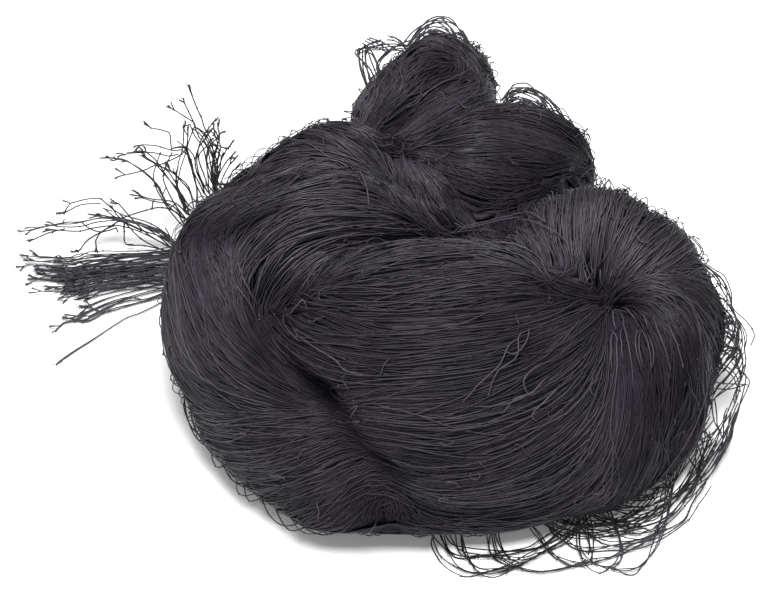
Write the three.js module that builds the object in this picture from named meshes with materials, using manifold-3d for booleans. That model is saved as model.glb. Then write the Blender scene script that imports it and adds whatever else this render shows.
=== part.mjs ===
// A knotted bird net, gathered lengthways into one thick rope, wound into a hank and laid on a table.
// Millimetres, +Z up. The origin is on the table, under the middle of the hank.
import * as THREE from "three";
import { mergeVertices } from "three/addons/utils/BufferGeometryUtils.js";
import Module from "manifold-3d";

const wasm = await Module();
wasm.setup();

// Driving dimensions
const TWINE_WIDTH = 1.0; // a strand of twine where it stands away from the hank
const EDGE_WIDTH = 4; // the gathered edge that loose strands come out of
const CLEARANCE = 0.3; // between the hank and a loose piece that lies against it
const TIP_SCATTER = 6; // how far the tips of loose strands stray from an even row
const BOW_PLACES = [0.35, 0.7]; // shares of the way along a loose strand where it is bowed upwards
const LOOP_REACH = [0.6, 1]; // shares of the way to the outer line that loops of slack net reach
const LOOP_LEVELS = 5; // how many loops lie over each other before the lowest level is used again
const LOOP_ROUNDNESS = 0.6; // under 1 the loops leave the gathered edge more squarely
const LOOP_POINTS = 7; // places along a loop
const STRAND_SIDES = 3; // faces round a strand
const STRAND_STEPS = { tail: 2, spray: 4, bar: 1, loop: 8 }; // stretches of faces along a strand
const EDGE_SIDES = 6; // faces round a gathered edge
const FACES_PER_LOCK = 4; // faces round a bundle for each of its broad ridges
const STEPS_PER_ROW = 3; // rings of faces from one section of a form to the next
const FULL_LOCK_HALF = 25; // half width at which a bundle's ridges reach their full height
const TABLE_DEPTH = 200; // how far the block that trims the underside reaches down
const TABLE_SIZE = 900;

// The hank's bundles: stretches of the gathered net, each a row of sections across the way its strands run.
// Columns of a section: x, y, z of its middle, half its width and half its depth.
// facing is the side that half_depth points to, locks the number of broad ridges round the bundle,
// lock_height how far they stand up, and twist the turns that they make from end to end.
const BUNDLES = {
  // The wide bundle across the front, drawn together at its right end.
  front: {
    facing: [0, -0.67, 0.74],
    locks: 9,
    lock_height: 1.8,
    twist: 0.08,
    rows: [
      [-80, -24, 46, 24, 20],
      [-58, -37, 59, 50, 39],
      [-26, -50, 63, 64, 48],
      [5, -57, 60, 70, 53],
      [36, -55, 58, 69, 50],
      [60, -48, 53, 60, 39],
      [79, -40, 48, 44, 29],
      [94, -27, 49, 14, 8],
    ],
  },
  // The bundle under its right end, which the fan's strands fall over.
  lower_right: {
    facing: [0, -0.67, 0.74],
    locks: 6,
    lock_height: 0.8,
    twist: 0.1,
    rows: [
      [26, -63, 38, 24, 22],
      [54, -63, 36, 42, 37],
      [80, -59, 37, 44, 40],
      [100, -52, 37, 36, 36],
      [114, -42, 37, 24, 26],
      [125, -34, 39, 9, 10],
    ],
  },
  // The bundle that comes round the left side from the top and dives under the front one.
  left_arc: {
    facing: [0, -0.5, 0.86],
    locks: 6,
    lock_height: 2.0,
    twist: -0.25,
    rows: [
      [10, 44, 52, 8, 8],
      [-16, 36, 72, 19, 19],
      [-55, 30, 82, 26, 30],
      [-88, 19, 76, 31, 34],
      [-103, -10, 66, 33, 36],
      [-94, -42, 56, 33, 36],
      [-63, -63, 48, 29, 30],
      [-26, -70, 36, 16, 16],
    ],
  },
  // The bundle below it, which goes round the lower left to the same valley.
  lower_left: {
    facing: [-0.3, -0.6, 0.74],
    locks: 6,
    lock_height: 1.8,
    twist: 0.1,
    rows: [
      [-80, 8, 28, 20, 20],
      [-92, -26, 37, 34, 34],
      [-79, -58, 39, 38, 36],
      [-54, -77, 39, 39, 33],
      [-27, -82, 40, 34, 27],
      [2, -76, 44, 14, 12],
    ],
  },
  // The bundle along the back, twisted over its own crest.
  back_crest: {
    facing: [0, 0.2, 0.98],
    locks: 6,
    lock_height: 2.0,
    twist: -0.45,
    rows: [
      [-112, 10, 34, 16, 16],
      [-98, 40, 48, 30, 34],
      [-70, 62, 56, 36, 41],
      [-42, 68, 62, 35, 40],
      [-16, 56, 58, 20, 22],
      [0, 44, 54, 8, 8],
    ],
  },
  // The two folded ends behind the hank, pinched where they leave it and bent down to the table.
  far_fold: {
    facing: [1, 0, 0],
    locks: 6,
    lock_height: 1.8,
    twist: 0.1,
    rows: [
      [-20, 78, 58, 10, 10],
      [-13, 110, 56, 27, 32],
      [-3, 140, 55, 30, 33],
      [5, 165, 50, 25, 27],
      [10, 184, 34, 19, 22],
      [11, 188, 11, 16, 20],
      [10, 186, -12, 14, 19],
    ],
  },
  right_fold: {
    facing: [0, -0.92, -0.4],
    locks: 6,
    lock_height: 1.8,
    twist: -0.1,
    rows: [
      [-20, 78, 58, 9, 9],
      [0, 75, 52, 31, 39],
      [24, 84, 47, 36, 46],
      [46, 98, 46, 31, 40],
      [62, 104, 35, 24, 31],
      [65, 104, 10, 18, 26],
      [64, 103, -12, 16, 24],
    ],
  },
  // The lower layers of the two folds, which come back to the hank along the table.
  far_return: {
    facing: [1, 0, 0],
    locks: 5,
    lock_height: 1.4,
    twist: 0.1,
    rows: [
      [-16, 66, 22, 18, 20],
      [-11, 108, 19, 21, 27],
      [-1, 146, 17, 19, 27],
      [7, 174, 17, 16, 22],
      [9, 190, 18, 7, 12],
    ],
  },
  right_return: {
    facing: [0, -0.98, -0.2],
    locks: 5,
    lock_height: 1.4,
    twist: -0.1,
    rows: [
      [-12, 62, 24, 18, 20],
      [18, 78, 20, 22, 32],
      [42, 93, 17, 19, 31],
      [58, 101, 17, 16, 25],
      [68, 105, 18, 7, 14],
    ],
  },
  // The unseen middle of the hank, which carries the bundles above it.
  middle: {
    facing: [0, 0, 1],
    locks: 5,
    lock_height: 1.0,
    twist: 0,
    rows: [
      [-98, 0, 22, 26, 20],
      [-60, 8, 30, 58, 34],
      [0, 10, 34, 74, 38],
      [60, 8, 32, 62, 36],
      [96, 0, 24, 26, 20],
    ],
  },
};

// The right end of the hank, where the strands come out of a pinched hollow and fall over a round shoulder.
// Columns of a row: height along the leaning axis, and half the width there.
const RIGHT_FAN = {
  foot: new THREE.Vector3(78, 2, 0),
  axis: new THREE.Vector3(0, -0.25, 0.968),
  depth_share: 1.06,
  locks: 9,
  lock_height: 1.6,
  profile: [
    [78, 3],
    [87, 10],
    [94, 24],
    [97, 38],
    [92, 51],
    [78, 58],
    [54, 61],
    [24, 60],
    [-6, 53],
  ],
};

// The cut end of the net, which comes out behind the left side and lies on the table like a brush.
// Its root is a bundle; its tails leave the root, and its sprays leave a gathered edge on the back bundle.
const LOOSE_END = {
  root: {
    facing: [0, 0, 1],
    locks: 5,
    lock_height: 1.0,
    twist: 0.1,
    rows: [
      [-100, 56, 16, 12, 13],
      [-130, 60, 11, 15, 13],
      [-156, 61, 8, 16, 10],
      [-180, 62, 6, 15, 8],
      [-194, 62, 5, 12, 6],
    ],
  },
  // The gathered edge starts in the root, and goes up the back bundle.
  // Columns: share of the way along that bundle, and degrees round it.
  edge_start: [-130, 60, 14],
  edge: [
    [0.18, 205],
    [0.22, 192],
    [0.27, 180],
    [0.32, 168],
    [0.35, 158],
  ],
  // Layers of tails, from the nearest to the furthest: the place of the first and of the last root and tip.
  tails: [
    { strands: 10, roots: [[-160, 50, 3], [-160, 72, 3]], tips: [[-190, 44, 0], [-221, 72, 0]], bow: 0 },
    { strands: 10, roots: [[-160, 50, 8], [-160, 72, 8]], tips: [[-192, 48, 4], [-224, 68, 5]], bow: 1 },
    { strands: 8, roots: [[-158, 53, 12], [-158, 71, 12]], tips: [[-188, 54, 8], [-210, 80, 13]], bow: 2 },
    { strands: 3, roots: [[-146, 48, 4], [-150, 48, 4]], tips: [[-198, 34, 0], [-186, 40, 0]], bow: 0 },
    { strands: 1, roots: [[-138, 50, 4], [-138, 50, 4]], tips: [[-193, 12, 0], [-193, 12, 0]], bow: 0 },
  ],
  // Sprays, with their roots given as shares of the way along the gathered edge.
  sprays: [
    { strands: 10, roots: [0.25, 0.5], tips: [[-212, 76, 22], [-180, 92, 44]], bow: 12 },
    { strands: 14, roots: [0.45, 0.95], tips: [[-168, 98, 60], [-112, 104, 90]], bow: 3 },
  ],
};

// Slack net that hangs off the hank in loops, each between a gathered edge on it and an outer line.
// lengths are the shortest and longest shares of the edge that a loop spans.
// Columns of a station: bundle, share of the way along it, degrees round it, and the way out in x, y and z.
const SLACK = {
  // Round the foot of the hank, from the front to the right shoulder.
  loose_mesh: {
    loops: 20,
    lengths: [0.16, 0.42],
    stations: [
      ["front", 0.4, -18, [7, -11, -4]],
      ["front", 0.47, -19, [-3, -30, -4]],
      ["front", 0.56, -18, [2, -33, -4]],
      ["lower_right", 0.28, -8, [-8, -36, -5]],
      ["lower_right", 0.46, -8, [9, -30, -5]],
      ["lower_right", 0.62, -4, [10, -26, -9]],
      ["lower_right", 0.78, 6, [11, -13, -19]],
      ["fan", 0.78, -30, [18, -6, -19]],
      ["fan", 0.72, -18, [16, 3, -16]],
      ["fan", 0.68, -6, [10, 11, -10]],
      ["fan", 0.64, 6, [5, 13, -5]],
    ],
  },
  // On the upper left of the far fold.
  far_loops: {
    loops: 8,
    lengths: [0.25, 0.6],
    stations: [
      ["far_fold", 0.22, 250, [-2, 4, 2]],
      ["far_fold", 0.3, 240, [-13, 18, 1]],
      ["far_fold", 0.38, 232, [-11, 12, 2]],
      ["far_fold", 0.46, 220, [-3, 4, 4]],
      ["far_fold", 0.54, 206, [0, 3, 4]],
      ["far_fold", 0.62, 194, [2, 3, 2]],
    ],
  },
  // Along the top of the right fold.
  right_loops: {
    loops: 5,
    lengths: [0.5, 0.9],
    stations: [
      ["right_fold", 0.4, 250, [0, 3, 2]],
      ["right_fold", 0.48, 251, [1, 8, 6]],
      ["right_fold", 0.55, 250, [4, 7, 6]],
      ["right_fold", 0.63, 247, [3, 2, 2]],
    ],
  },
};

// A number from -1 to 1 that looks random and is the same on every run.
function unevenness(seed) {
  const wave = Math.sin(seed * 12.9898) * 43758.5453;
  return 2 * (wave - Math.floor(wave)) - 1;
}

// A three.js geometry as a solid, with the vertices that its faces share merged.
function solidOf(geometry) {
  const bare = geometry.clone();
  bare.deleteAttribute("normal");
  bare.deleteAttribute("uv");
  const merged = mergeVertices(bare, 1e-4);
  return new wasm.Manifold(
    new wasm.Mesh({
      numProp: 3,
      vertProperties: merged.attributes.position.array,
      triVerts: new Uint32Array(merged.index.array),
    }),
  );
}

function geometryOf(solid) {
  const { vertProperties, triVerts } = solid.getMesh();
  return new THREE.BufferGeometry()
    .setAttribute("position", new THREE.BufferAttribute(vertProperties, 3))
    .setIndex(new THREE.BufferAttribute(triVerts, 1));
}

// A closed form whose points are placed by the share of the way along it and the angle round it.
function drawnOut(sides, rings, place) {
  const form = new THREE.SphereGeometry(1, sides, rings);
  const { position, uv } = form.attributes;
  for (let i = 0; i < position.count; i++) {
    const along = 1 - uv.getY(i);
    const atPole = along < 1e-6 || along > 1 - 1e-6;
    const point = place(along, 2 * Math.PI * uv.getX(i), atPole ? 0 : 1);
    position.setXYZ(i, point.x, point.y, point.z);
  }
  return form;
}

function vectors(triples) {
  return triples.map((triple) => new THREE.Vector3(...triple));
}

function smoothLine(triples) {
  return new THREE.CatmullRomCurve3(vectors(triples), false, "catmullrom");
}

// The two directions across a tangent: up, as near as can be to a facing, and the side that goes with it.
function across(tangent, facing) {
  const up = facing.clone().addScaledVector(tangent, -facing.dot(tangent)).normalize();
  return { up, side: new THREE.Vector3().crossVectors(tangent, up) };
}

// Where a bundle's surface lies: at a share of the way along, an angle round, and a distance outside it.
function bundleSurface({ rows, facing, locks, lock_height, twist }) {
  const middles = smoothLine(rows.map(([x, y, z]) => [x, y, z]));
  const halves = smoothLine(rows.map(([, , , half_width, half_depth]) => [half_width, half_depth, 0]));
  const face = new THREE.Vector3(...facing);
  return (along, angle, open, grown) => {
    const tangent = middles.getTangent(along);
    const { up, side } = across(tangent, face);
    const half = halves.getPoint(along);
    const lock = lock_height * Math.cos(locks * (angle - 2 * Math.PI * twist * along));
    const swell = (grown + lock * Math.min(1, half.x / FULL_LOCK_HALF)) * open;
    return middles.getPoint(along)
      .addScaledVector(tangent, grown * (2 * along - 1))
      .addScaledVector(side, (half.x * open + swell) * Math.cos(angle))
      .addScaledVector(up, (half.y * open + swell) * Math.sin(angle));
  };
}

// The same for the fan at the right end: a turned form on a leaning axis, longer one way than the other.
function fanSurface({ foot, axis, depth_share, locks, lock_height, profile }) {
  const outline = smoothLine(profile.map(([height, half]) => [half, height, 0]));
  const side = new THREE.Vector3(1, 0, 0);
  const back = new THREE.Vector3().crossVectors(axis, side);
  return (along, angle, open, grown) => {
    const { x: half, y: height } = outline.getPoint(along);
    const lock = lock_height * Math.min(1, half / (2 * FULL_LOCK_HALF)) * Math.cos(locks * angle);
    const reach = (half + lock + grown) * open;
    return foot.clone()
      .addScaledVector(axis, height + grown)
      .addScaledVector(side, reach * Math.cos(angle))
      .addScaledVector(back, reach * depth_share * Math.sin(angle));
  };
}

const SURFACES = { fan: fanSurface(RIGHT_FAN) };
for (const [name, spec] of Object.entries(BUNDLES)) {
  SURFACES[name] = bundleSurface(spec);
}

function swollen(surface, { locks, rows, profile }, grown) {
  const rings = STEPS_PER_ROW * ((rows ?? profile).length - 1);
  const place = (along, angle, open) => surface(along, angle, open, grown);
  return solidOf(drawnOut(FACES_PER_LOCK * locks, rings, place));
}

// The block of space under the table's surface.
function underTable() {
  const block = new THREE.BoxGeometry(TABLE_SIZE, TABLE_SIZE, TABLE_DEPTH);
  return solidOf(block.translate(0, 0, -TABLE_DEPTH / 2));
}

// The whole hank as one solid, flat where it lies on the table.
function hankSolid(grown) {
  const forms = Object.entries(BUNDLES).map(([name, spec]) => swollen(SURFACES[name], spec, grown));
  forms.push(swollen(SURFACES.fan, RIGHT_FAN, grown));
  return wasm.Manifold.union(forms).subtract(underTable());
}

// The direction square to the plane that a line of points bends in, turned upwards.
function bendNormal(points) {
  const middle = points[Math.floor(points.length / 2)];
  const first = middle.clone().sub(points[0]);
  const normal = first.cross(points[points.length - 1].clone().sub(middle));
  if (normal.length() < 1) {
    return new THREE.Vector3(0, 0, 1);
  }
  return normal.multiplyScalar((normal.z < 0 ? -1 : 1) / normal.length());
}

// A strand or gathered edge along a smooth line, with a flat side down, that never sinks into the table.
function strand(points, width, sides, steps) {
  const line = new THREE.CatmullRomCurve3(points, false, "centripetal");
  const facing = bendNormal(points);
  const half = width / 2;
  const lowest = half * Math.cos(Math.PI / sides);
  const place = (along, angle, open) => {
    const share = THREE.MathUtils.clamp((along * (steps + 2) - 1) / steps, 0, 1);
    const { up, side } = across(line.getTangent(share), facing);
    const turned = angle - Math.PI / 2 + Math.PI / sides;
    const middle = line.getPoint(share);
    middle.z = Math.max(middle.z, lowest);
    return middle
      .addScaledVector(side, half * open * Math.cos(turned))
      .addScaledVector(up, half * open * Math.sin(turned));
  };
  return solidOf(drawnOut(sides, steps + 2, place));
}

// The lines of a fan of strands from a row of roots to a row of tips, bowed upwards, with the tips uneven.
function strandFan({ strands, tips, bow }, rootAt, seed) {
  const [first, last] = vectors(tips);
  const lines = [];
  for (let i = 0; i < strands; i++) {
    const share = strands > 1 ? i / (strands - 1) : 0;
    const root = rootAt(share);
    const [dx, dy, dz] = [0, 1, 2].map((axis) => TIP_SCATTER * unevenness(seed + 3 * i + axis));
    const onTable = first.z === 0;
    const tip = first.clone().lerp(last, share).add(new THREE.Vector3(dx, dy, onTable ? 0 : dz / 2));
    const raise = new THREE.Vector3(0, 0, bow);
    const between = BOW_PLACES.map((way) => root.clone().lerp(tip, way).add(raise));
    lines.push([root, ...between, tip]);
  }
  return lines;
}

// The cut end: its root, the gathered edge on the hank, and all their strands, as one piece.
function looseEnd({ root, edge_start, edge, tails, sprays }) {
  const edgePoints = edge.map(
    ([along, degrees]) => SURFACES.back_crest(along, THREE.MathUtils.degToRad(degrees), 1, 0));
  edgePoints.unshift(new THREE.Vector3(...edge_start));
  const edgeLine = new THREE.CatmullRomCurve3(edgePoints, false, "centripetal");
  const forms = [
    swollen(bundleSurface(root), root, 0),
    strand(edgePoints, EDGE_WIDTH, EDGE_SIDES, 2 * edgePoints.length),
  ];
  tails.forEach((fan, layer) => {
    const [first, last] = vectors(fan.roots);
    const rootAt = (share) => first.clone().lerp(last, share);
    for (const line of strandFan(fan, rootAt, 100 * layer)) {
      forms.push(strand(line, TWINE_WIDTH, STRAND_SIDES, STRAND_STEPS.tail));
    }
  });
  sprays.forEach((fan, group) => {
    const rootAt = (share) => edgeLine.getPoint(THREE.MathUtils.lerp(...fan.roots, share));
    const lines = strandFan(fan, rootAt, 1000 + 100 * group);
    for (const [i, line] of lines.entries()) {
      forms.push(strand(line, TWINE_WIDTH, STRAND_SIDES, STRAND_STEPS.spray));
      if (i % 2 === 1) {
        forms.push(strand([lines[i - 1][1], line[2]], TWINE_WIDTH, STRAND_SIDES, STRAND_STEPS.bar));
      }
    }
  });
  return wasm.Manifold.union(forms);
}

// A stretch of slack net: its gathered edge, and loops that leave the edge and come back to it further on.
function slackNet({ loops, lengths, stations }, seed) {
  const edgePoints = stations.map(
    ([name, along, degrees]) => SURFACES[name](along, THREE.MathUtils.degToRad(degrees), 1, 0));
  const outerPoints = edgePoints.map((point, i) => point.clone().add(new THREE.Vector3(...stations[i][3])));
  const edgeLine = new THREE.CatmullRomCurve3(edgePoints, false, "centripetal");
  const outerLine = new THREE.CatmullRomCurve3(outerPoints, false, "centripetal");
  const forms = [strand(edgePoints, EDGE_WIDTH, EDGE_SIDES, 2 * edgePoints.length)];
  const spread = (range, seed) => THREE.MathUtils.lerp(...range, 0.5 + 0.5 * unevenness(seed));
  for (let i = 0; i < loops; i++) {
    const length = spread(lengths, seed + i);
    const start = (1 - length) * (i / (loops - 1));
    const reach = spread(LOOP_REACH, seed + loops + i);
    const level = (i % LOOP_LEVELS) * (TWINE_WIDTH + CLEARANCE);
    const points = [];
    for (let k = 0; k < LOOP_POINTS; k++) {
      const share = k / (LOOP_POINTS - 1);
      const bulge = Math.sin(Math.PI * share) ** LOOP_ROUNDNESS;
      const place = start + length * share;
      const point = edgeLine.getPoint(place).lerp(outerLine.getPoint(place), reach * bulge);
      point.z = Math.max(point.z, TWINE_WIDTH / 4) + level * bulge;
      points.push(point);
    }
    forms.push(strand(points, TWINE_WIDTH, STRAND_SIDES, STRAND_STEPS.loop));
  }
  return wasm.Manifold.union(forms);
}

const net = new THREE.Group();

function addPiece(name, solid) {
  const twine = new THREE.MeshStandardMaterial({ color: 0x26252a, roughness: 0.62, metalness: 0 });
  const piece = new THREE.Mesh(geometryOf(solid), twine);
  piece.name = name;
  net.add(piece);
}

// What is left of a loose piece outside the hank and the table, without the scraps that the cut sets free.
function besideHank(solid) {
  const bodies = solid.subtract(hankSolid(CLEARANCE)).subtract(underTable()).decompose();
  return bodies.reduce((most, body) => (body.volume() > most.volume() ? body : most));
}

addPiece("hank", hankSolid(0));
addPiece("loose_end", besideHank(looseEnd(LOOSE_END)));
Object.entries(SLACK).forEach(([name, spec], i) => {
  addPiece(name, besideHank(slackNet(spec, 10 + 200 * i)));
});

export default net;
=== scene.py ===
"""Looks of a black bird net wound into a hank: its body, turns of twine, cut end and slack net."""

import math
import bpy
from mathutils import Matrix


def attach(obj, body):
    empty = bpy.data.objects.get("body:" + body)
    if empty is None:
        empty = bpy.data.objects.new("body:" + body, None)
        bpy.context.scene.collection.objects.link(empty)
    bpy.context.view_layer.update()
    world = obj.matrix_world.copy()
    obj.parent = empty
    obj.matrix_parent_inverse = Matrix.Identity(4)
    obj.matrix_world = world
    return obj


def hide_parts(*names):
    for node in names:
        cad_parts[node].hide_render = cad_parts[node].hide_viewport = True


bl_info = {
    "name": "Bird net hank",
    "version": (1, 1, 0),
    "blender": (4, 5, 0),
    "location": "View3D > Sidebar > Bird net",
    "description": "Lays turns of twine over a wound net, and adds its cut end and its slack net",
    "category": "Object",
}

from itertools import combinations

import bpy
import numpy as np
from mathutils import Vector
from mathutils.bvhtree import BVHTree

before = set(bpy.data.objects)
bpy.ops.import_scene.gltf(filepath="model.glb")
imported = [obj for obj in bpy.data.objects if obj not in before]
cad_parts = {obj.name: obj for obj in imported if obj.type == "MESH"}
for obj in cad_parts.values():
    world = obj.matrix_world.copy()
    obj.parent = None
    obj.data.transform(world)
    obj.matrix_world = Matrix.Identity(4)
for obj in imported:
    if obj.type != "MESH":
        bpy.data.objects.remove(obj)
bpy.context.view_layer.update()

BODY_NAME = "net_body"
MM = 0.001
UP = np.array((0.0, 0.0, 1.0))

# The photograph's viewing angle. A drawn line is a row of places in its picture: points across and down.
VIEW_CENTRE = np.array((-28.0, 7.5, 50.0)) * MM
VIEW_ELEVATION = math.radians(48)
VIEW_DISTANCE = 1.2
VIEW_LENS = 112.5
SENSOR_WIDTH = 36.0
PICTURE = np.array((768.0, 596.0))
PICTURE_FOCUS = VIEW_LENS / SENSOR_WIDTH * PICTURE[0]
VIEW_BACK = np.array((0, -math.cos(VIEW_ELEVATION), math.sin(VIEW_ELEVATION)))
VIEW_UP = np.array((0, math.sin(VIEW_ELEVATION), math.cos(VIEW_ELEVATION)))
VIEW_RIGHT = np.array((1.0, 0.0, 0.0))
EYE = VIEW_CENTRE + VIEW_BACK * VIEW_DISTANCE

# The hank's bundles as its solid has them, in millimetres: stretches of net, each a row of sections.
# Columns of a section: x, y, z of its middle, half its width and half its depth.
# facing is the side that half the depth points to, and twist the turns that the strands make from end to end.
BUNDLES = {
    "front": {
        "facing": (0, -0.67, 0.74),
        "twist": 0.08,
        "rows": (
            (-80, -24, 46, 24, 20),
            (-58, -37, 59, 50, 39),
            (-26, -50, 63, 64, 48),
            (5, -57, 60, 70, 53),
            (36, -55, 58, 69, 50),
            (60, -48, 53, 60, 39),
            (79, -40, 48, 44, 29),
            (94, -27, 49, 14, 8),
        ),
    },
    "lower_right": {
        "facing": (0, -0.67, 0.74),
        "twist": 0.1,
        "rows": (
            (26, -63, 38, 24, 22),
            (54, -63, 36, 42, 37),
            (80, -59, 37, 44, 40),
            (100, -52, 37, 36, 36),
            (114, -42, 37, 24, 26),
            (125, -34, 39, 9, 10),
        ),
    },
    "left_arc": {
        "facing": (0, -0.5, 0.86),
        "twist": -0.25,
        "rows": (
            (10, 44, 52, 8, 8),
            (-16, 36, 72, 19, 19),
            (-55, 30, 82, 26, 30),
            (-88, 19, 76, 31, 34),
            (-103, -10, 66, 33, 36),
            (-94, -42, 56, 33, 36),
            (-63, -63, 48, 29, 30),
            (-26, -70, 36, 16, 16),
        ),
    },
    "lower_left": {
        "facing": (-0.3, -0.6, 0.74),
        "twist": 0.1,
        "rows": (
            (-80, 8, 28, 20, 20),
            (-92, -26, 37, 34, 34),
            (-79, -58, 39, 38, 36),
            (-54, -77, 39, 39, 33),
            (-27, -82, 40, 34, 27),
            (2, -76, 44, 14, 12),
        ),
    },
    "back_crest": {
        "facing": (0, 0.2, 0.98),
        "twist": -0.45,
        "rows": (
            (-112, 10, 34, 16, 16),
            (-98, 40, 48, 30, 34),
            (-70, 62, 56, 36, 41),
            (-42, 68, 62, 35, 40),
            (-16, 56, 58, 20, 22),
            (0, 44, 54, 8, 8),
        ),
    },
    "far_fold": {
        "facing": (1, 0, 0),
        "twist": 0.1,
        "rows": (
            (-20, 78, 58, 10, 10),
            (-13, 110, 56, 27, 32),
            (-3, 140, 55, 30, 33),
            (5, 165, 50, 25, 27),
            (10, 184, 34, 19, 22),
            (11, 188, 11, 16, 20),
            (10, 186, -12, 14, 19),
        ),
    },
    "right_fold": {
        "facing": (0, -0.92, -0.4),
        "twist": -0.1,
        "rows": (
            (-20, 78, 58, 9, 9),
            (0, 75, 52, 31, 39),
            (24, 84, 47, 36, 46),
            (46, 98, 46, 31, 40),
            (62, 104, 35, 24, 31),
            (65, 104, 10, 18, 26),
            (64, 103, -12, 16, 24),
        ),
    },
    "far_return": {
        "facing": (1, 0, 0),
        "twist": 0.1,
        "rows": (
            (-16, 66, 22, 18, 20),
            (-11, 108, 19, 21, 27),
            (-1, 146, 17, 19, 27),
            (7, 174, 17, 16, 22),
            (9, 190, 18, 7, 12),
        ),
    },
    "right_return": {
        "facing": (0, -0.98, -0.2),
        "twist": -0.1,
        "rows": (
            (-12, 62, 24, 18, 20),
            (18, 78, 20, 22, 32),
            (42, 93, 17, 19, 31),
            (58, 101, 17, 16, 25),
            (68, 105, 18, 7, 14),
        ),
    },
    "middle": {
        "facing": (0, 0, 1),
        "twist": 0.0,
        "rows": (
            (-98, 0, 22, 26, 20),
            (-60, 8, 30, 58, 34),
            (0, 10, 34, 74, 38),
            (60, 8, 32, 62, 36),
            (96, 0, 24, 26, 20),
        ),
    },
}

# The right end of the hank, where the strands come out of a pinched hollow and fall over a round shoulder.
# Columns of a row: height along the leaning axis, and half the width there, in millimetres.
FAN = {
    "foot": np.array((78, 2, 0)) * MM,
    "axis": np.array((0.0, -0.25, 0.968)),
    "side": np.array((1.0, 0.0, 0.0)),
    "back": np.array((0.0, 0.968, 0.25)),
    "depth_share": 1.06,
    "profile": ((78, 3), (87, 10), (94, 24), (97, 38), (92, 51), (78, 58), (54, 61), (24, 60), (-6, 53)),
}

# Which bundles' turns are joined into one piece.
TURN_PIECES = {
    "front_turns": ("front",),
    "left_turns": ("left_arc",),
    "lower_turns": ("lower_left",),
    "crest_turns": ("back_crest",),
    "far_turns": ("far_fold", "far_return"),
    "right_turns": ("right_fold", "right_return"),
    "fan_turns": ("fan",),
    "foot_turns": ("lower_right", "middle"),
}

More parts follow.
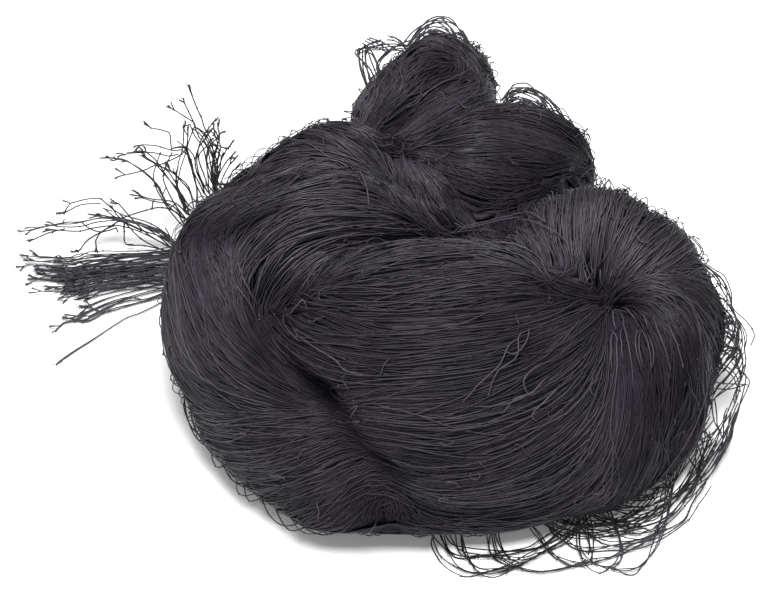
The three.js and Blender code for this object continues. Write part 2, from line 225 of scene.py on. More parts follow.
# Lines drawn along the strands.
FLOW = (
    # Down from the hollow of the fan.
    ((534, 272), (524, 250), (516, 230), (515, 214)),
    ((544, 280), (540, 255), (530, 221), (537, 201)),
    ((559, 287), (558, 266), (553, 235), (561, 187)),
    ((579, 288), (579, 266), (580, 230), (580, 182)),
    ((588, 292), (587, 266), (591, 227), (597, 190)),
    ((599, 291), (602, 268), (606, 235), (616, 194)),
    ((606, 292), (611, 266), (622, 230), (638, 204)),
    ((613, 292), (622, 274), (642, 252), (667, 229)),
    ((620, 294), (638, 280), (659, 264), (684, 242)),
    ((627, 294), (647, 278), (669, 272), (692, 262)),
    ((633, 298), (650, 289), (671, 291), (692, 304), (706, 330)),
    ((635, 304), (650, 306), (668, 316), (682, 345), (690, 385)),
    ((628, 312), (640, 326), (652, 352), (660, 395), (656, 440)),
    ((616, 314), (622, 340), (630, 375), (634, 410), (632, 450)),
    ((604, 308), (606, 340), (608, 390), (607, 440)),
    ((690, 330), (698, 370), (692, 415), (668, 465)),
    ((656, 430), (650, 465), (632, 495)),
    ((632, 440), (626, 470), (608, 505)),
    # Across the front.
    ((319, 288), (340, 262), (375, 248), (430, 242), (490, 246), (540, 262), (590, 292)),
    ((320, 290), (360, 275), (410, 264), (470, 258), (530, 270), (595, 297)),
    ((318, 292), (350, 296), (400, 297), (450, 290), (510, 283), (560, 290), (598, 300)),
    ((300, 310), (330, 322), (370, 334), (420, 336), (480, 330), (540, 318), (598, 303)),
    ((290, 335), (320, 352), (360, 364), (420, 366), (490, 358), (550, 338), (600, 306)),
    ((330, 405), (370, 398), (420, 395), (480, 388), (540, 362), (585, 325), (602, 306)),
    ((335, 410), (380, 418), (430, 422), (490, 412), (550, 385), (590, 345), (604, 310)),
    ((345, 430), (390, 445), (440, 452), (500, 442), (555, 412), (592, 365), (606, 312)),
    ((370, 465), (410, 478), (460, 482), (520, 468), (570, 435), (600, 390), (608, 330)),
    ((395, 485), (440, 505), (490, 505), (545, 490), (585, 460), (610, 410)),
    ((430, 518), (490, 522), (550, 512), (595, 485), (625, 440)),
    # Round the left side.
    ((168, 300), (176, 345), (196, 378), (230, 398), (275, 407), (318, 411)),
    ((185, 270), (196, 320), (215, 352), (245, 378), (285, 398), (320, 408)),
    ((205, 245), (217, 290), (233, 325), (258, 352), (284, 374), (318, 404)),
    ((228, 240), (236, 280), (248, 312), (266, 340)),
    ((395, 215), (360, 208), (310, 208), (270, 222), (243, 248), (236, 270)),
    ((390, 228), (350, 222), (305, 225), (270, 242), (248, 265), (240, 290)),
    ((375, 240), (335, 238), (300, 246), (272, 268), (255, 295), (250, 320)),
    ((360, 245), (325, 252), (298, 268), (284, 286)),
    ((215, 225), (250, 200), (290, 183), (335, 172), (370, 178), (395, 200)),
    ((225, 232), (262, 212), (305, 197), (350, 192), (385, 205)),
    # Below the left side.
    ((180, 400), (215, 420), (260, 426), (300, 424), (328, 418)),
    ((200, 440), (240, 450), (290, 445), (335, 428)),
    ((230, 470), (270, 474), (310, 462), (345, 442)),
    ((255, 492), (295, 486), (328, 474), (353, 456)),
    ((285, 508), (318, 498), (345, 480), (363, 466)),
    ((322, 518), (342, 500), (358, 483), (370, 472)),
    ((352, 518), (368, 500), (381, 484)),
    ((387, 482), (402, 489), (429, 498), (470, 503)),
    ((392, 502), (410, 512), (445, 520)),
    # Over the crest.
    ((300, 132), (330, 138), (358, 155), (380, 180), (392, 205)),
    ((275, 150), (310, 150), (345, 162), (372, 182)),
    ((330, 124), (360, 132), (385, 152), (398, 175)),
    ((215, 195), (240, 175), (270, 158), (300, 148)),
    ((190, 225), (215, 205), (245, 188)),
    # Over the far folds.
    ((352, 122), (362, 95), (380, 66), (405, 45), (432, 32)),
    ((368, 124), (378, 98), (398, 68), (425, 42)),
    ((432, 32), (458, 42), (478, 66), (492, 88)),
    ((425, 42), (448, 50), (466, 66), (480, 88)),
    ((393, 150), (425, 122), (458, 102), (484, 90)),
    ((393, 150), (440, 126), (475, 106), (496, 95)),
    ((385, 126), (405, 112), (430, 98), (462, 86)),
    ((392, 150), (430, 132), (470, 119), (520, 113), (556, 122), (576, 138)),
    ((395, 153), (440, 143), (495, 133), (540, 142), (575, 160)),
    ((400, 155), (432, 160), (460, 172), (500, 180), (545, 182)),
    ((400, 157), (425, 172), (440, 195), (452, 215)),
    ((408, 166), (418, 192), (436, 222)),
)

# Lines along which the body is made softer, where bundles run into each other without a step.
SOFTENED = (
    ((612, 310), (608, 345), (606, 390), (600, 440), (590, 490)),
    ((615, 392), (650, 388), (690, 388)),
    ((630, 380), (650, 420), (640, 470)),
    ((190, 400), (210, 420), (245, 420)),
    ((340, 470), (370, 495), (392, 515)),
)
SOFT_WIDTH = 15 * MM
SOFT_ROUNDS = 40
SOFT_SHARE = 0.6  # share of the way to its neighbours' middle that a point goes in a round

# Valleys pressed into the body, and swells where the depth is below zero.
# Columns: depth and half width in millimetres, and the drawn line.
CREASES = (
    (13, 9, ((280, 286), (266, 306), (264, 330), (270, 352), (286, 374), (308, 396))),
    (11, 8, ((312, 398), (330, 420), (345, 440), (365, 462), (388, 482))),
    (6, 8, ((420, 238), (380, 241), (335, 251), (312, 260), (295, 273), (284, 288))),
    (5, 7, ((392, 152), (398, 180), (408, 210), (420, 235))),
    (5, 6, ((532, 276), (556, 286), (578, 292))),
    (7, 9, ((604, 297), (618, 296))),
    (5, 10, ((215, 230), (240, 208), (285, 180), (330, 165), (360, 168))),
    (12, 11, ((386, 120), (402, 110), (418, 100))),
    (5, 9, ((430, 76), (446, 71), (458, 69))),
    (-4, 10, ((358, 118), (366, 99))),
    (5, 11, ((472, 56), (480, 66))),
    (-6, 10, ((436, 44), (452, 46))),
    (-5, 9, ((484, 78), (488, 92))),
    (-4, 10, ((560, 198), (585, 193), (612, 197))),
    (-4, 9, ((552, 123), (567, 133), (576, 145))),
    (8, 10, ((586, 170), (586, 178))),
    (6, 8, ((400, 155), (440, 148), (500, 150), (545, 168))),
    (-5, 10, ((338, 262), (370, 252), (420, 248))),
    (12, 15, ((697, 425), (690, 440), (678, 462), (662, 480))),
    (9, 22, ((680, 236), (694, 258), (704, 283), (710, 299))),
    (8, 19, ((242, 170), (260, 158), (285, 144))),
    (-7, 12, ((215, 203), (203, 225), (193, 244))),
    (3, 14, ((213, 440), (229, 464), (251, 485))),
    (-6, 12, ((315, 514), (350, 518), (390, 519), (415, 521))),
    (6, 12, ((450, 519), (490, 519), (530, 513))),
)

# Painted shade on parts in the shade between bundles, and painted light on parts made lighter where the
# strength is below zero.
# Columns: strength, half width in millimetres, and the drawn line.
PAINTED_SHADE_AND_LIGHT = (
    (0.79, 10, ((282, 284), (266, 304), (264, 328), (270, 350), (286, 374), (308, 394), (324, 408))),
    (0.79, 9, ((332, 420), (346, 441), (365, 462), (390, 484))),
    (0.5, 5, ((380, 240), (335, 250), (312, 259), (295, 272), (284, 287))),
    (0.95, 8, ((608, 300), (621, 299))),
    (0.79, 14, ((609, 322), (622, 336), (640, 342))),
    (0.7, 13, ((622, 340), (636, 365), (646, 390), (652, 415))),
    (0.6, 6, ((540, 280), (570, 291), (600, 299))),
    (0.78, 12, ((386, 120), (402, 110), (418, 100))),
    (0.35, 9, ((430, 76), (446, 71), (460, 69))),
    (0.75, 16, ((460, 200), (500, 195), (540, 185), (575, 178))),
    (0.78, 14, ((484, 206), (515, 200), (545, 188))),
    (0.5, 7, ((398, 180), (408, 210), (420, 232))),
    (0.55, 6, ((414, 206), (426, 216))),
    (0.78, 12, ((190, 241), (212, 233), (234, 222))),
    (0.75, 9, ((234, 222), (275, 201))),
    (0.65, 15, ((640, 470), (660, 440), (680, 400), (690, 350))),
    (0.36, 20, ((240, 500), (300, 516), (380, 522), (470, 518), (560, 508))),
    (0.28, 40, ((370, 330), (450, 350), (530, 345))),
    (0.34, 26, ((380, 440), (430, 470), (490, 470), (540, 455))),
    (0.55, 9, ((425, 121), (460, 114), (494, 112))),
    (0.45, 10, ((480, 165), (505, 161), (535, 162))),
    (0.22, 14, ((194, 400), (214, 440), (247, 476))),
    (0.76, 13, ((364, 500), (378, 508), (394, 514))),
    (0.6, 10, ((560, 128), (580, 145), (584, 165))),
    (0.2, 20, ((200, 250), (212, 290), (228, 330))),
    (-1.4, 13, ((390, 222), (335, 220), (305, 228), (288, 246), (280, 266))),
    (-0.8, 10, ((352, 190), (375, 200), (390, 214))),
    (-0.6, 16, ((545, 225), (580, 215), (620, 215), (655, 235))),
    (-0.5, 12, ((290, 150), (335, 148), (370, 160), (386, 180))),
    (-1.0, 6, ((418, 166), (432, 188), (446, 204))),
    (-1.0, 6, ((426, 168), (444, 180), (455, 196))),
    (-1.0, 8, ((354, 118), (364, 96), (378, 78))),
    (-0.3, 8, ((425, 143), (480, 132), (540, 136))),
    (-1.0, 11, ((520, 238), (550, 250), (590, 258), (622, 262))),
)
DEEP_SHADE = 0.8  # shade at which a strand dives out of sight
PAINTED_LIGHT_DAMPING = 2.0  # how fast painted light fades as the painted shade gets deeper
OWN_SIDE = -0.3  # cosine of the widest turn from a drawn line's normal to that of a point it rules
EVEN_ROUNDS = 3  # rounds of evening out the pressed body, and below the share of the way in a round
EVEN_SHARE = 0.5
GRAIN_ROUNDS = 4  # rounds of evening out the body's first faces
SAME_POINT = 0.01 * MM

# How the run of the net is read.
AXIS_SAMPLES = 60  # places along a bundle's middle that a point is compared with
BUNDLE_BLEND = 4 * MM  # how far two bundles' runs shade into each other where they meet
END_REACH = 12 * MM  # how far past its end sections a bundle still counts as near
FLOW_SPACING = 4.0  # picture points between the places at which a drawn line is read
FLOW_WIDTH = 4 * MM  # how far a drawn line rules the run by itself
FLOW_REACH = 22 * MM  # how far from a drawn line the bundles' own run still gives way to it
FLOW_PULL = 6.0  # how firmly a drawn line holds the run, and below how firmly a bundle does
BUNDLE_PULL = 0.4
LEAST_PULL = 0.004
FLOW_SIDE = 0.2  # cosine of the widest turn from a drawn line's normal to that of a point it holds
RUN_ROUNDS = 160  # rounds of evening out the run from point to point
SHARPEST_TURN = 0.5  # cosine of the sharpest turn from one step of a strand to the next
UNDERSIDE = 0.1  # share of the turns that is laid where the hank rests on the table, and below
FAR_SIDE = 0.6  # where it faces away from the viewer
FAR_FOLDS = 1.5  # and over its far folds, which start this far back
FOLDS_START = 100 * MM
RESTING_HEIGHT = 4 * MM
FACING_DOWN = -0.5  # cosine to straight up below which a low face rests
FACING_AWAY = -0.1  # cosine to the viewer below which a face is out of sight

# How strands lie in a lock.
LOCK_TWIST = 10.0  # the fastest that a lock turns round its own middle, in radians a metre
STRAND_SWAY = 0.7 * MM  # how far a strand leaves its place in the lock
LOCK_LEVELS = (-0.55 * MM, 0.55 * MM)  # how deep and how high the middle of a lock lies
END_DIP = 3.5 * MM  # how far the ends of a strand dive under the others
END_SHARE = 0.22  # share of a strand that dives at each end
SHORTEST_LINE = 6  # places that a strand has at least
NEAR_SHADE = 0.3  # shade from which a strand's steps are looked at closely
SHORTER_STEPS = (1.0, 0.55, 0.3)  # shares of a step that are tried where the run bends fast
SHORTEST_STEP = 0.4  # share of a step that a strand has to get on by
PARTING_LOOKS = (0.25, 0.5, 0.75)  # shares of a step at which the shade is looked at
WANDER_SPREAD = 9  # places that a swell in a strand's way is long
STRAND_SPREAD = 10  # the same for a strand in its lock, and below for the lock's width
SWELL_SPREAD = 14
STRAND_TURN = 0.5  # how unevenly a strand goes round the middle of its lock
LOCK_SWELL = 0.35  # how much a lock's width differs along it
SWAY_LAG = 3  # places that a strand's sway lags behind its turning
WAVE_PARTS = ((1.0, 0.6), (0.55, 0.3), (0.3, 0.15))  # lengths and sizes of the swells in a wave
TUBE_NUMBERS = 0.37  # step from one tube's number to the next
KNOT_SIZES = (0.8, 1.25)
KNOT_TONES = (0.1, 0.5)


def unit(vectors):
    return vectors / np.maximum(np.linalg.norm(vectors, axis=-1, keepdims=True), 1e-12)


def smooth_line(rows, shares):
    """Rows of numbers at shares of the way along a smooth curve through the given rows."""
    rows = np.asarray(rows, float)
    padded = np.vstack((2 * rows[0] - rows[1], rows, 2 * rows[-1] - rows[-2]))
    way = np.clip(np.asarray(shares, float), 0, 1) * (len(rows) - 1)
    first = np.minimum(way.astype(int), len(rows) - 2)
    part = (way - first)[:, None]
    a, b, c, d = (padded[first + k] for k in range(4))
    bend = (2 * a - 5 * b + 4 * c - d) * part**2 + (3 * b - a - 3 * c + d) * part**3
    return 0.5 * (2 * b + (c - a) * part + bend)


def drawn(way, spacing):
    """Places along a smooth line through places in the picture, about spacing points apart."""
    way = np.array(way, float)
    length = np.linalg.norm(np.diff(way, axis=0), axis=1).sum()
    return smooth_line(way, np.linspace(0, 1, max(4, int(length / spacing))))


def sights(places):
    """The ways that the lines of sight through places in the picture go."""
    across, down = (np.asarray(places, float) - PICTURE / 2).T / PICTURE_FOCUS
    return unit(np.outer(across, VIEW_RIGHT) - np.outer(down, VIEW_UP) - VIEW_BACK)


def at_level(places, axis, level):
    """Where the lines of sight through places in the picture reach a level along one axis."""
    ways = sights(places)
    return EYE + ways * ((level - EYE[axis]) / ways[:, axis])[:, None]


def on_body(tree, way):
    """Where the lines of sight through a drawn line meet the body: places and normals."""
    spots, normals = [], []
    for sight in sights(drawn(way, FLOW_SPACING)):
        spot, normal, _, _ = tree.ray_cast(Vector(EYE), Vector(sight))
        if spot is not None:
            spots.append(spot)
            normals.append(normal)
    return np.array(spots).reshape(-1, 3), np.array(normals).reshape(-1, 3)


def nearest(points, spots):
    """For each point the number of the nearest spot, and how far off it is."""
    gaps = np.linalg.norm(points[:, None] - spots, axis=-1)
    best = gaps.argmin(1)
    return best, gaps[np.arange(len(points)), best]


def fading(gap, width):
    """Shares that fall from 1 at no gap to nothing at a few times the width."""
    return np.exp(-((gap / width) ** 2))


def nearness(tree, points, normals, way, width):
    """How near each point lies to a drawn line on its own side of the body, from 0 to 1."""
    spots, facings = on_body(tree, way)
    best, gap = nearest(points, spots)
    same_side = (normals * facings[best]).sum(1) > OWN_SIDE
    return np.where(same_side, fading(gap, width), 0)


def sections(spec, shares):
    """Middles, tangents, sides, ups and half sizes of a bundle at shares of the way along it."""
    nudge = 0.002
    table = np.array(spec["rows"]) * MM
    rows = smooth_line(table, shares)
    ahead = smooth_line(table, np.asarray(shares) + nudge)
    behind = smooth_line(table, np.asarray(shares) - nudge)
    tangents = unit(ahead[:, :3] - behind[:, :3])
    facing = np.array(spec["facing"], float)
    ups = unit(facing - (tangents @ facing)[:, None] * tangents)
    return rows[:, :3], tangents, np.cross(tangents, ups), ups, rows[:, 3:]


def bundle_run(points, spec):
    """How far outside a bundle each point lies, and which way the bundle's strands run there."""
    middles, tangents, sides, ups, halves = sections(spec, np.linspace(0, 1, AXIS_SAMPLES))
    away = points[:, None] - middles
    across = (away * sides).sum(-1) / halves[:, 0]
    deep = (away * ups).sum(-1) / halves[:, 1]
    along = (away * tangents).sum(-1) / END_REACH
    share_out = np.sqrt(across**2 + deep**2 + along**2)
    best = share_out.argmin(1)
    rows = np.arange(len(points))
    gap = (share_out[rows, best] - 1) * np.sqrt(halves[best].prod(1))
    length = np.linalg.norm(np.diff(middles, axis=0), axis=1).sum()
    round_it = np.cross(tangents[best], away[rows, best])
    run = unit(tangents[best] * length - round_it * 2 * math.pi * spec["twist"])
    return np.maximum(gap, 0), run


def fan_run(points, normals):
    """The same for the fan, whose strands run down from its hollow."""
    away = points - FAN["foot"]
    height = away @ FAN["axis"]
    width = np.hypot(away @ FAN["side"], away @ FAN["back"] / FAN["depth_share"])
    outline = smooth_line(np.array(FAN["profile"]) * MM, np.linspace(0, 1, AXIS_SAMPLES))
    gap = np.hypot(height[:, None] - outline[:, 0], width[:, None] - outline[:, 1]).min(1)
    return gap, unit(np.cross(np.cross(FAN["axis"], away), normals))


def read_array(collection, name, width, kind=float):
    values = np.zeros(len(collection) * width, np.int32 if kind is int else np.float32)
    collection.foreach_get(name, values)
    return values.reshape(-1, width) if width > 1 else values


def add_note(mesh, name, kind, domain, values):
    """Notes a value for each point or face of a mesh, under a name."""
    field = "vector" if kind == "FLOAT_VECTOR" else "value"
    values = np.asarray(values).astype(np.int32 if kind == "INT" else np.float32)
    mesh.attributes.new(name, kind, domain).data.foreach_set(field, values.ravel())


def move_points(mesh, points):
    mesh.vertices.foreach_set("co", points.astype(np.float32).ravel())
    mesh.update()


def beside(count, edges):
    """For each point of a mesh the points next to it, filled up with the point itself."""
    ends = np.concatenate((edges, edges[:, ::-1]))
    ends = ends[np.argsort(ends[:, 0], kind="stable")]
    counts = np.bincount(ends[:, 0], minlength=count)
    firsts = np.cumsum(counts) - counts
    table = np.tile(np.arange(count)[:, None], counts.max())
    table[ends[:, 0], np.arange(len(ends)) - firsts[ends[:, 0]]] = ends[:, 1]
    return table


def body_tree(mesh):
    points = read_array(mesh.vertices, "co", 3)
    corners = read_array(mesh.polygons, "vertices", 4, int)
    return BVHTree.FromPolygons(points.tolist(), corners.tolist())


def form_body(mesh):
    """Softens the body where bundles run together, presses its creases in and notes where shade is painted on
    it, and where light is.
    """
    points = read_array(mesh.vertices, "co", 3).astype(float)
    table = beside(len(points), read_array(mesh.edges, "vertices", 2, int))
    tree = body_tree(mesh)
    softness = np.zeros(len(points))
    for way in SOFTENED:
        gap = nearest(points, on_body(tree, way)[0])[1]
        softness = np.maximum(softness, fading(gap, SOFT_WIDTH))
    for _ in range(SOFT_ROUNDS):
        points += SOFT_SHARE * softness[:, None] * (points[table].mean(1) - points)
    move_points(mesh, points)
    tree = body_tree(mesh)
    normals = read_array(mesh.vertices, "normal", 3).astype(float)
    press = np.zeros(len(points))
    for depth, width, way in CREASES:
        press += depth * MM * nearness(tree, points, normals, way, width * MM)
    shade = np.zeros(len(points))
    # Painted shade darkens parts between bundles; rows below zero paint light on, which fades where the
    # painted shade is deep.
    for strength, width, way in PAINTED_SHADE_AND_LIGHT:
        own = strength * nearness(tree, points, normals, way, width * MM)
        if strength > 0:
            shade = np.maximum(shade, own)
        else:
            shade = shade + own * np.clip(1 - PAINTED_LIGHT_DAMPING * shade, 0, 1)
    add_note(mesh, "shade", "FLOAT", "POINT", shade)
    points -= normals * press[:, None]
    for _ in range(EVEN_ROUNDS):
        points += EVEN_SHARE * (points[table].mean(1) - points)
    points[:, 2] = np.maximum(points[:, 2], 0)
    move_points(mesh, points)


def both_ways(runs):
    """A direction times itself, which is the same for both ways along a strand and can be added up."""
    return (runs[..., :, None] * runs[..., None, :]).reshape(*runs.shape[:-1], 9)


def note_runs(mesh):
    """Notes on each face of the body which way the net runs there, and which bundle it belongs to."""
    points = read_array(mesh.vertices, "co", 3).astype(float)
    normals = read_array(mesh.vertices, "normal", 3).astype(float)
    table = beside(len(points), read_array(mesh.edges, "vertices", 2, int))
    tree = body_tree(mesh)
    found = [bundle_run(points, spec) for spec in BUNDLES.values()]
    found.append(fan_run(points, normals))
    gaps = np.array([gap for gap, _ in found])
    shares = np.exp((gaps.min(0) - gaps) / BUNDLE_BLEND)
    shares = shares / shares.sum(0)
    own = sum(share[:, None] * both_ways(run) for share, (_, run) in zip(shares, found))
    pull, weight, near = np.zeros_like(own), np.zeros(len(points)), np.zeros(len(points))
    for way in FLOW:
        spots, facings = on_body(tree, way)
        if len(spots) < 3:
            continue
        low, high = spots.min(0) - 2 * FLOW_REACH, spots.max(0) + 2 * FLOW_REACH
        close = np.flatnonzero(np.all((points > low) & (points < high), axis=1))
        best, gap = nearest(points[close], spots)
        same_side = (normals[close] * facings[best]).sum(1) > FLOW_SIDE
        strength = np.where(same_side, fading(gap, FLOW_WIDTH), 0)
        reach = np.where(same_side, fading(gap, FLOW_REACH), 0)
        pull[close] += strength[:, None] * both_ways(unit(np.gradient(spots, axis=0)))[best]
        weight[close] += strength
        near[close] = np.maximum(near[close], reach)
    hold = BUNDLE_PULL * (1 - near) ** 2 + LEAST_PULL
    fixed = (hold[:, None] * own + FLOW_PULL * pull).astype(np.float32)
    total = (hold + FLOW_PULL * weight + 1)[:, None].astype(np.float32)
    runs = fixed / np.maximum(total - 1, LEAST_PULL)
    for _ in range(RUN_ROUNDS):
        runs = (fixed + runs[table].mean(1)) / total
    corners = read_array(mesh.polygons, "vertices", 4, int)
    face_normals = read_array(mesh.polygons, "normal", 3).astype(float)
    flat = np.eye(3) - face_normals[:, :, None] * face_normals[:, None, :]
    face_runs = np.linalg.eigh(flat @ runs[corners].mean(1).reshape(-1, 3, 3) @ flat)[1][:, :, 2]
    add_note(mesh, "run", "FLOAT_VECTOR", "FACE", face_runs)
    add_note(mesh, "bundle", "INT", "FACE", gaps.argmin(0)[corners[:, 0]])


def wave(rng, count, spread):
    """Smooth uneven numbers from about -1 to 1, with swells about spread places long."""
    places = np.arange(count)
    total = np.zeros(count)
    for share, size in WAVE_PARTS:
        total += size * np.sin(2 * math.pi * (places / (spread * share) + rng.random()))
    return total


class Body:
    """The wound body as strands meet it: its surface, and the run of the net over it."""

    def __init__(self):
        mesh = bpy.data.objects[BODY_NAME].data
        self.tree = body_tree(mesh)
        self.runs = [Vector(run) for run in read_array(mesh.attributes["run"].data, "vector", 3)]
        self.bundles = read_array(mesh.attributes["bundle"].data, "value", 1, int)
        self.middles = read_array(mesh.polygons, "center", 3)
        self.normals = read_array(mesh.polygons, "normal", 3)
        corners = read_array(mesh.polygons, "vertices", 4, int)
        self.shades = read_array(mesh.attributes["shade"].data, "value", 1)[corners].mean(1)
        share = read_array(mesh.polygons, "area", 1).astype(float)
        resting = (self.middles[:, 2] < RESTING_HEIGHT) & (self.normals[:, 2] < FACING_DOWN)
        share[self.normals @ VIEW_BACK < FACING_AWAY] *= FAR_SIDE
        share[resting] *= UNDERSIDE
        share[self.middles[:, 1] > FOLDS_START] *= FAR_FOLDS
        self.share = share / share.sum()

    def starts(self, rng, count, edge=None):
        """Faces to start strands from. With edge, faces that turn their edge to the viewer."""
        share = self.share
        if edge is not None:
            share = share * (np.abs(self.normals @ VIEW_BACK) < edge)
            share = share / share.sum()
        return rng.choice(len(share), size=count, p=share)

    def parting(self, place, heading, step):
        """Where within one step the shade gets too deep for a strand, if it does."""
        for part in PARTING_LOOKS:
            spot, normal, face, _ = self.tree.find_nearest(place + heading * (step * part))
            if self.shades[face] > DEEP_SHADE:
                return spot, normal, self.shades[face]
        return None

    def follow(self, place, heading, step, turns):
        """Places, normals and shades along the run, until it bends away, gets too deep or the turns end."""
        places, normals, shades = [], [], []
        for turn in turns:
            near = shades and shades[-1] > NEAR_SHADE
            parting = self.parting(place, heading, step) if near else None
            if parting:
                for row, value in zip((places, normals, shades), parting):
                    row.append(value)
                break
            spot, normal, face, _ = self.tree.find_nearest(place + heading * step)
            run = self.runs[face] if self.runs[face].dot(heading) > 0 else -self.runs[face]
            if run.dot(heading) < SHARPEST_TURN or (spot - place).length < SHORTEST_STEP * step:
                break
            heading = run + normal.cross(run) * turn
            heading = (heading - normal * heading.dot(normal)).normalized()
            place = spot
            places.append(spot)
            normals.append(normal)
            shades.append(self.shades[face])
            if self.shades[face] > DEEP_SHADE:
                break
        return places, normals, shades

    def line(self, rng, face, length, step, wander, slant):
        """A strand's way over the body, both ways from the middle of a face: places, normals and shades."""
        steps = max(3, int(length / step / 2))
        turns = wander * wave(rng, 2 * steps, WANDER_SPREAD) + slant
        middle = (Vector(self.middles[face]), Vector(self.normals[face]), self.shades[face])
        heading = self.runs[face]
        ahead = self.follow(middle[0], heading, step, turns[:steps])
        behind = self.follow(middle[0], -heading, step, turns[steps:])
        rows = zip(behind, middle, ahead)
        places, normals, shades = (np.array([*reversed(back), here, *on]) for back, here, on in rows)
        if len(places) > 2:
            places[1:-1] = 0.5 * places[1:-1] + 0.25 * (places[:-2] + places[2:])
            normals[1:-1] = unit(2 * normals[1:-1] + normals[:-2] + normals[2:])
        return places, normals, shades

    def strand(self, rng, face, lengths, step, wander, slant=0.0):
        """The same, with shorter steps where the run bends fast, or nothing where it is too short even so."""
        if self.shades[face] > DEEP_SHADE:
            return None
        length = rng.uniform(*lengths)
        for part in SHORTER_STEPS:
            found = self.line(rng, face, length, part * step, wander, slant)
            if len(found[0]) >= SHORTEST_LINE:
                return found
        return None

    def drawn_strand(self, way):
        """The same along a drawn line, or nothing where that runs off the body."""
        places, normals = on_body(self.tree, way)
        shades = np.array([self.shades[self.tree.find_nearest(place)[2]] for place in places])
        return (places, normals, shades) if len(places) > 3 else None


class Twine:
    """Strands and knots gathered as arrays, which become one joined mesh."""

    def __init__(self):
        self.places, self.faces, self.tones, self.sheens, self.lays = [], [], [], [], []
        self.size = 0

    def add(self, places, faces, tones, sheens, lays):
        self.places.append(places.reshape(-1, 3))
        self.faces.append(faces.reshape(-1, 3) + self.size)
        self.tones.append(tones.ravel())
        self.sheens.append(sheens.ravel())
        self.lays.append(lays.reshape(-1, 3))
        self.size += len(self.places[-1])

    def strands(self, lines, half, across, tones, sheens=1.0, sides=3, flatness=1.0):
        """Tubes of a half width along lines of points. across is a direction that isn't along them.

        Each point also keeps how it lies in its tube: how far across and along, and the tube's number."""
        lines = np.array(lines, float)
        half = np.broadcast_to(half, lines.shape[:2])
        lines[..., 2] = np.maximum(lines[..., 2], half * flatness)
        runs = unit(np.gradient(lines, axis=1))
        side = unit(np.cross(runs, across))
        over = np.cross(side, runs) * flatness
        turns = 2 * math.pi * np.arange(sides) / sides
        ring = side[..., None, :] * np.cos(turns)[:, None] + over[..., None, :] * np.sin(turns)[:, None]
        places = lines[..., None, :] + ring * half[..., None, None]
        places[..., 2] = np.maximum(places[..., 2], 0)
        index = np.arange(places[..., 0].size).reshape(places.shape[:3])
        here, there = index[:, :-1], index[:, 1:]
        here_next, there_next = np.roll(here, -1, 2), np.roll(there, -1, 2)
        walls = np.stack((here, there, there_next, here, there_next, here_next), -1)
        cap = np.array([(0, k, k + 1) for k in range(1, sides - 1)])
        caps = np.concatenate((index[:, 0][:, cap], index[:, -1][:, cap[:, ::-1]]))
        faces = np.concatenate((walls.reshape(-1, 3), caps.reshape(-1, 3)))
        looks = []
        for values in (np.asarray(tones, float), np.asarray(sheens, float)):
            spread = values.reshape(*values.shape, *(1,) * (3 - values.ndim))
            looks.append(np.array(np.broadcast_to(spread, index.shape)))
        steps = np.linalg.norm(np.diff(lines, axis=1, prepend=lines[:, :1]), axis=-1)
        lays = np.zeros(places.shape)
        lays[..., 0] = np.cos(turns) * half[..., None]
        lays[..., 1] = steps.cumsum(1)[..., None]
        lays[..., 2] = (self.size + np.arange(len(lines)))[:, None, None] * TUBE_NUMBERS
        self.add(places, faces, *looks, lays)

    def strand(self, line, half, across, tone):
        """One tube of one tone along a line of points."""
        self.strands(line[None], half, across, tone)

    def knots(self, centres, half, rng):
        """A small lump at each centre, each turned its own way."""
        centres = np.reshape(centres, (-1, 3))
        corners, faces = lump()
        turned = np.linalg.qr(rng.normal(size=(len(centres), 3, 3)))[0]
        turned *= np.sign(np.linalg.det(turned))[:, None, None]
        sizes = half * rng.uniform(*KNOT_SIZES, (len(centres), 1, 3))
        places = centres[:, None] + np.einsum("ck,nkj->ncj", corners, turned) * sizes
        places[..., 2] = np.maximum(places[..., 2], 0.0)
        firsts = np.arange(len(centres))[:, None, None] * len(corners)
        tones = np.repeat(rng.uniform(*KNOT_TONES, len(centres)), len(corners))
        self.add(places, faces + firsts, tones, np.ones(len(tones)), np.zeros(places.shape))

    def bar_knots(self, line, first, mesh_bar, half, rng, most=None):
        """Knots along a line, a mesh bar apart, from a share of a bar on."""
        lengths = np.linalg.norm(np.diff(line, axis=0), axis=1).cumsum()
        for reach in np.arange(first * mesh_bar, lengths[-1], mesh_bar)[:most]:
            self.knots(line[np.searchsorted(lengths, reach)], half, rng)

    def piece(self, name, material, slot, *nodes):
        """The joined mesh as a piece that stands for the given nodes."""
        mesh = bpy.data.meshes.new(name)
        mesh.from_pydata(np.concatenate(self.places), [], np.concatenate(self.faces))
        mesh.shade_smooth()
        add_note(mesh, "tone", "FLOAT", "POINT", np.concatenate(self.tones))
        add_note(mesh, "sheen", "FLOAT", "POINT", np.concatenate(self.sheens))
        add_note(mesh, "lay", "FLOAT_VECTOR", "POINT", np.concatenate(self.lays))
        mesh.materials.append(material)
        piece = bpy.data.objects.new(name, mesh)
        bpy.context.scene.collection.objects.link(piece)
        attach(piece, "root")
        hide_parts(*nodes)


def lump():
    """Corners and faces of a knot: a lump of twenty faces."""
    golden = (1 + math.sqrt(5)) / 2
    corners = []
    for turn in range(3):
        for near in (-1, 1):
            for far in (-golden, golden):
                corners.append(np.roll((0, near, far), turn))
    corners = np.array(corners, float)
    gaps = np.linalg.norm(corners[:, None] - corners, axis=-1)
    joined = np.abs(gaps - 2) < 0.1
    faces = []
    for a, b, c in combinations(range(len(corners)), 3):
        if joined[a, b] and joined[b, c] and joined[a, c]:
            outward = np.dot(np.cross(corners[b] - corners[a], corners[c] - corners[a]), corners[a])
            faces.append((a, b, c) if outward > 0 else (a, c, b))
    return unit(corners), np.array(faces)


def dive(count):
    """How far each place of a strand dives under the others, at its two ends."""
    share = np.abs(np.linspace(-1, 1, count))
    return END_DIP * np.clip((share - 1 + 2 * END_SHARE) / (2 * END_SHARE), 0, 1) ** 2


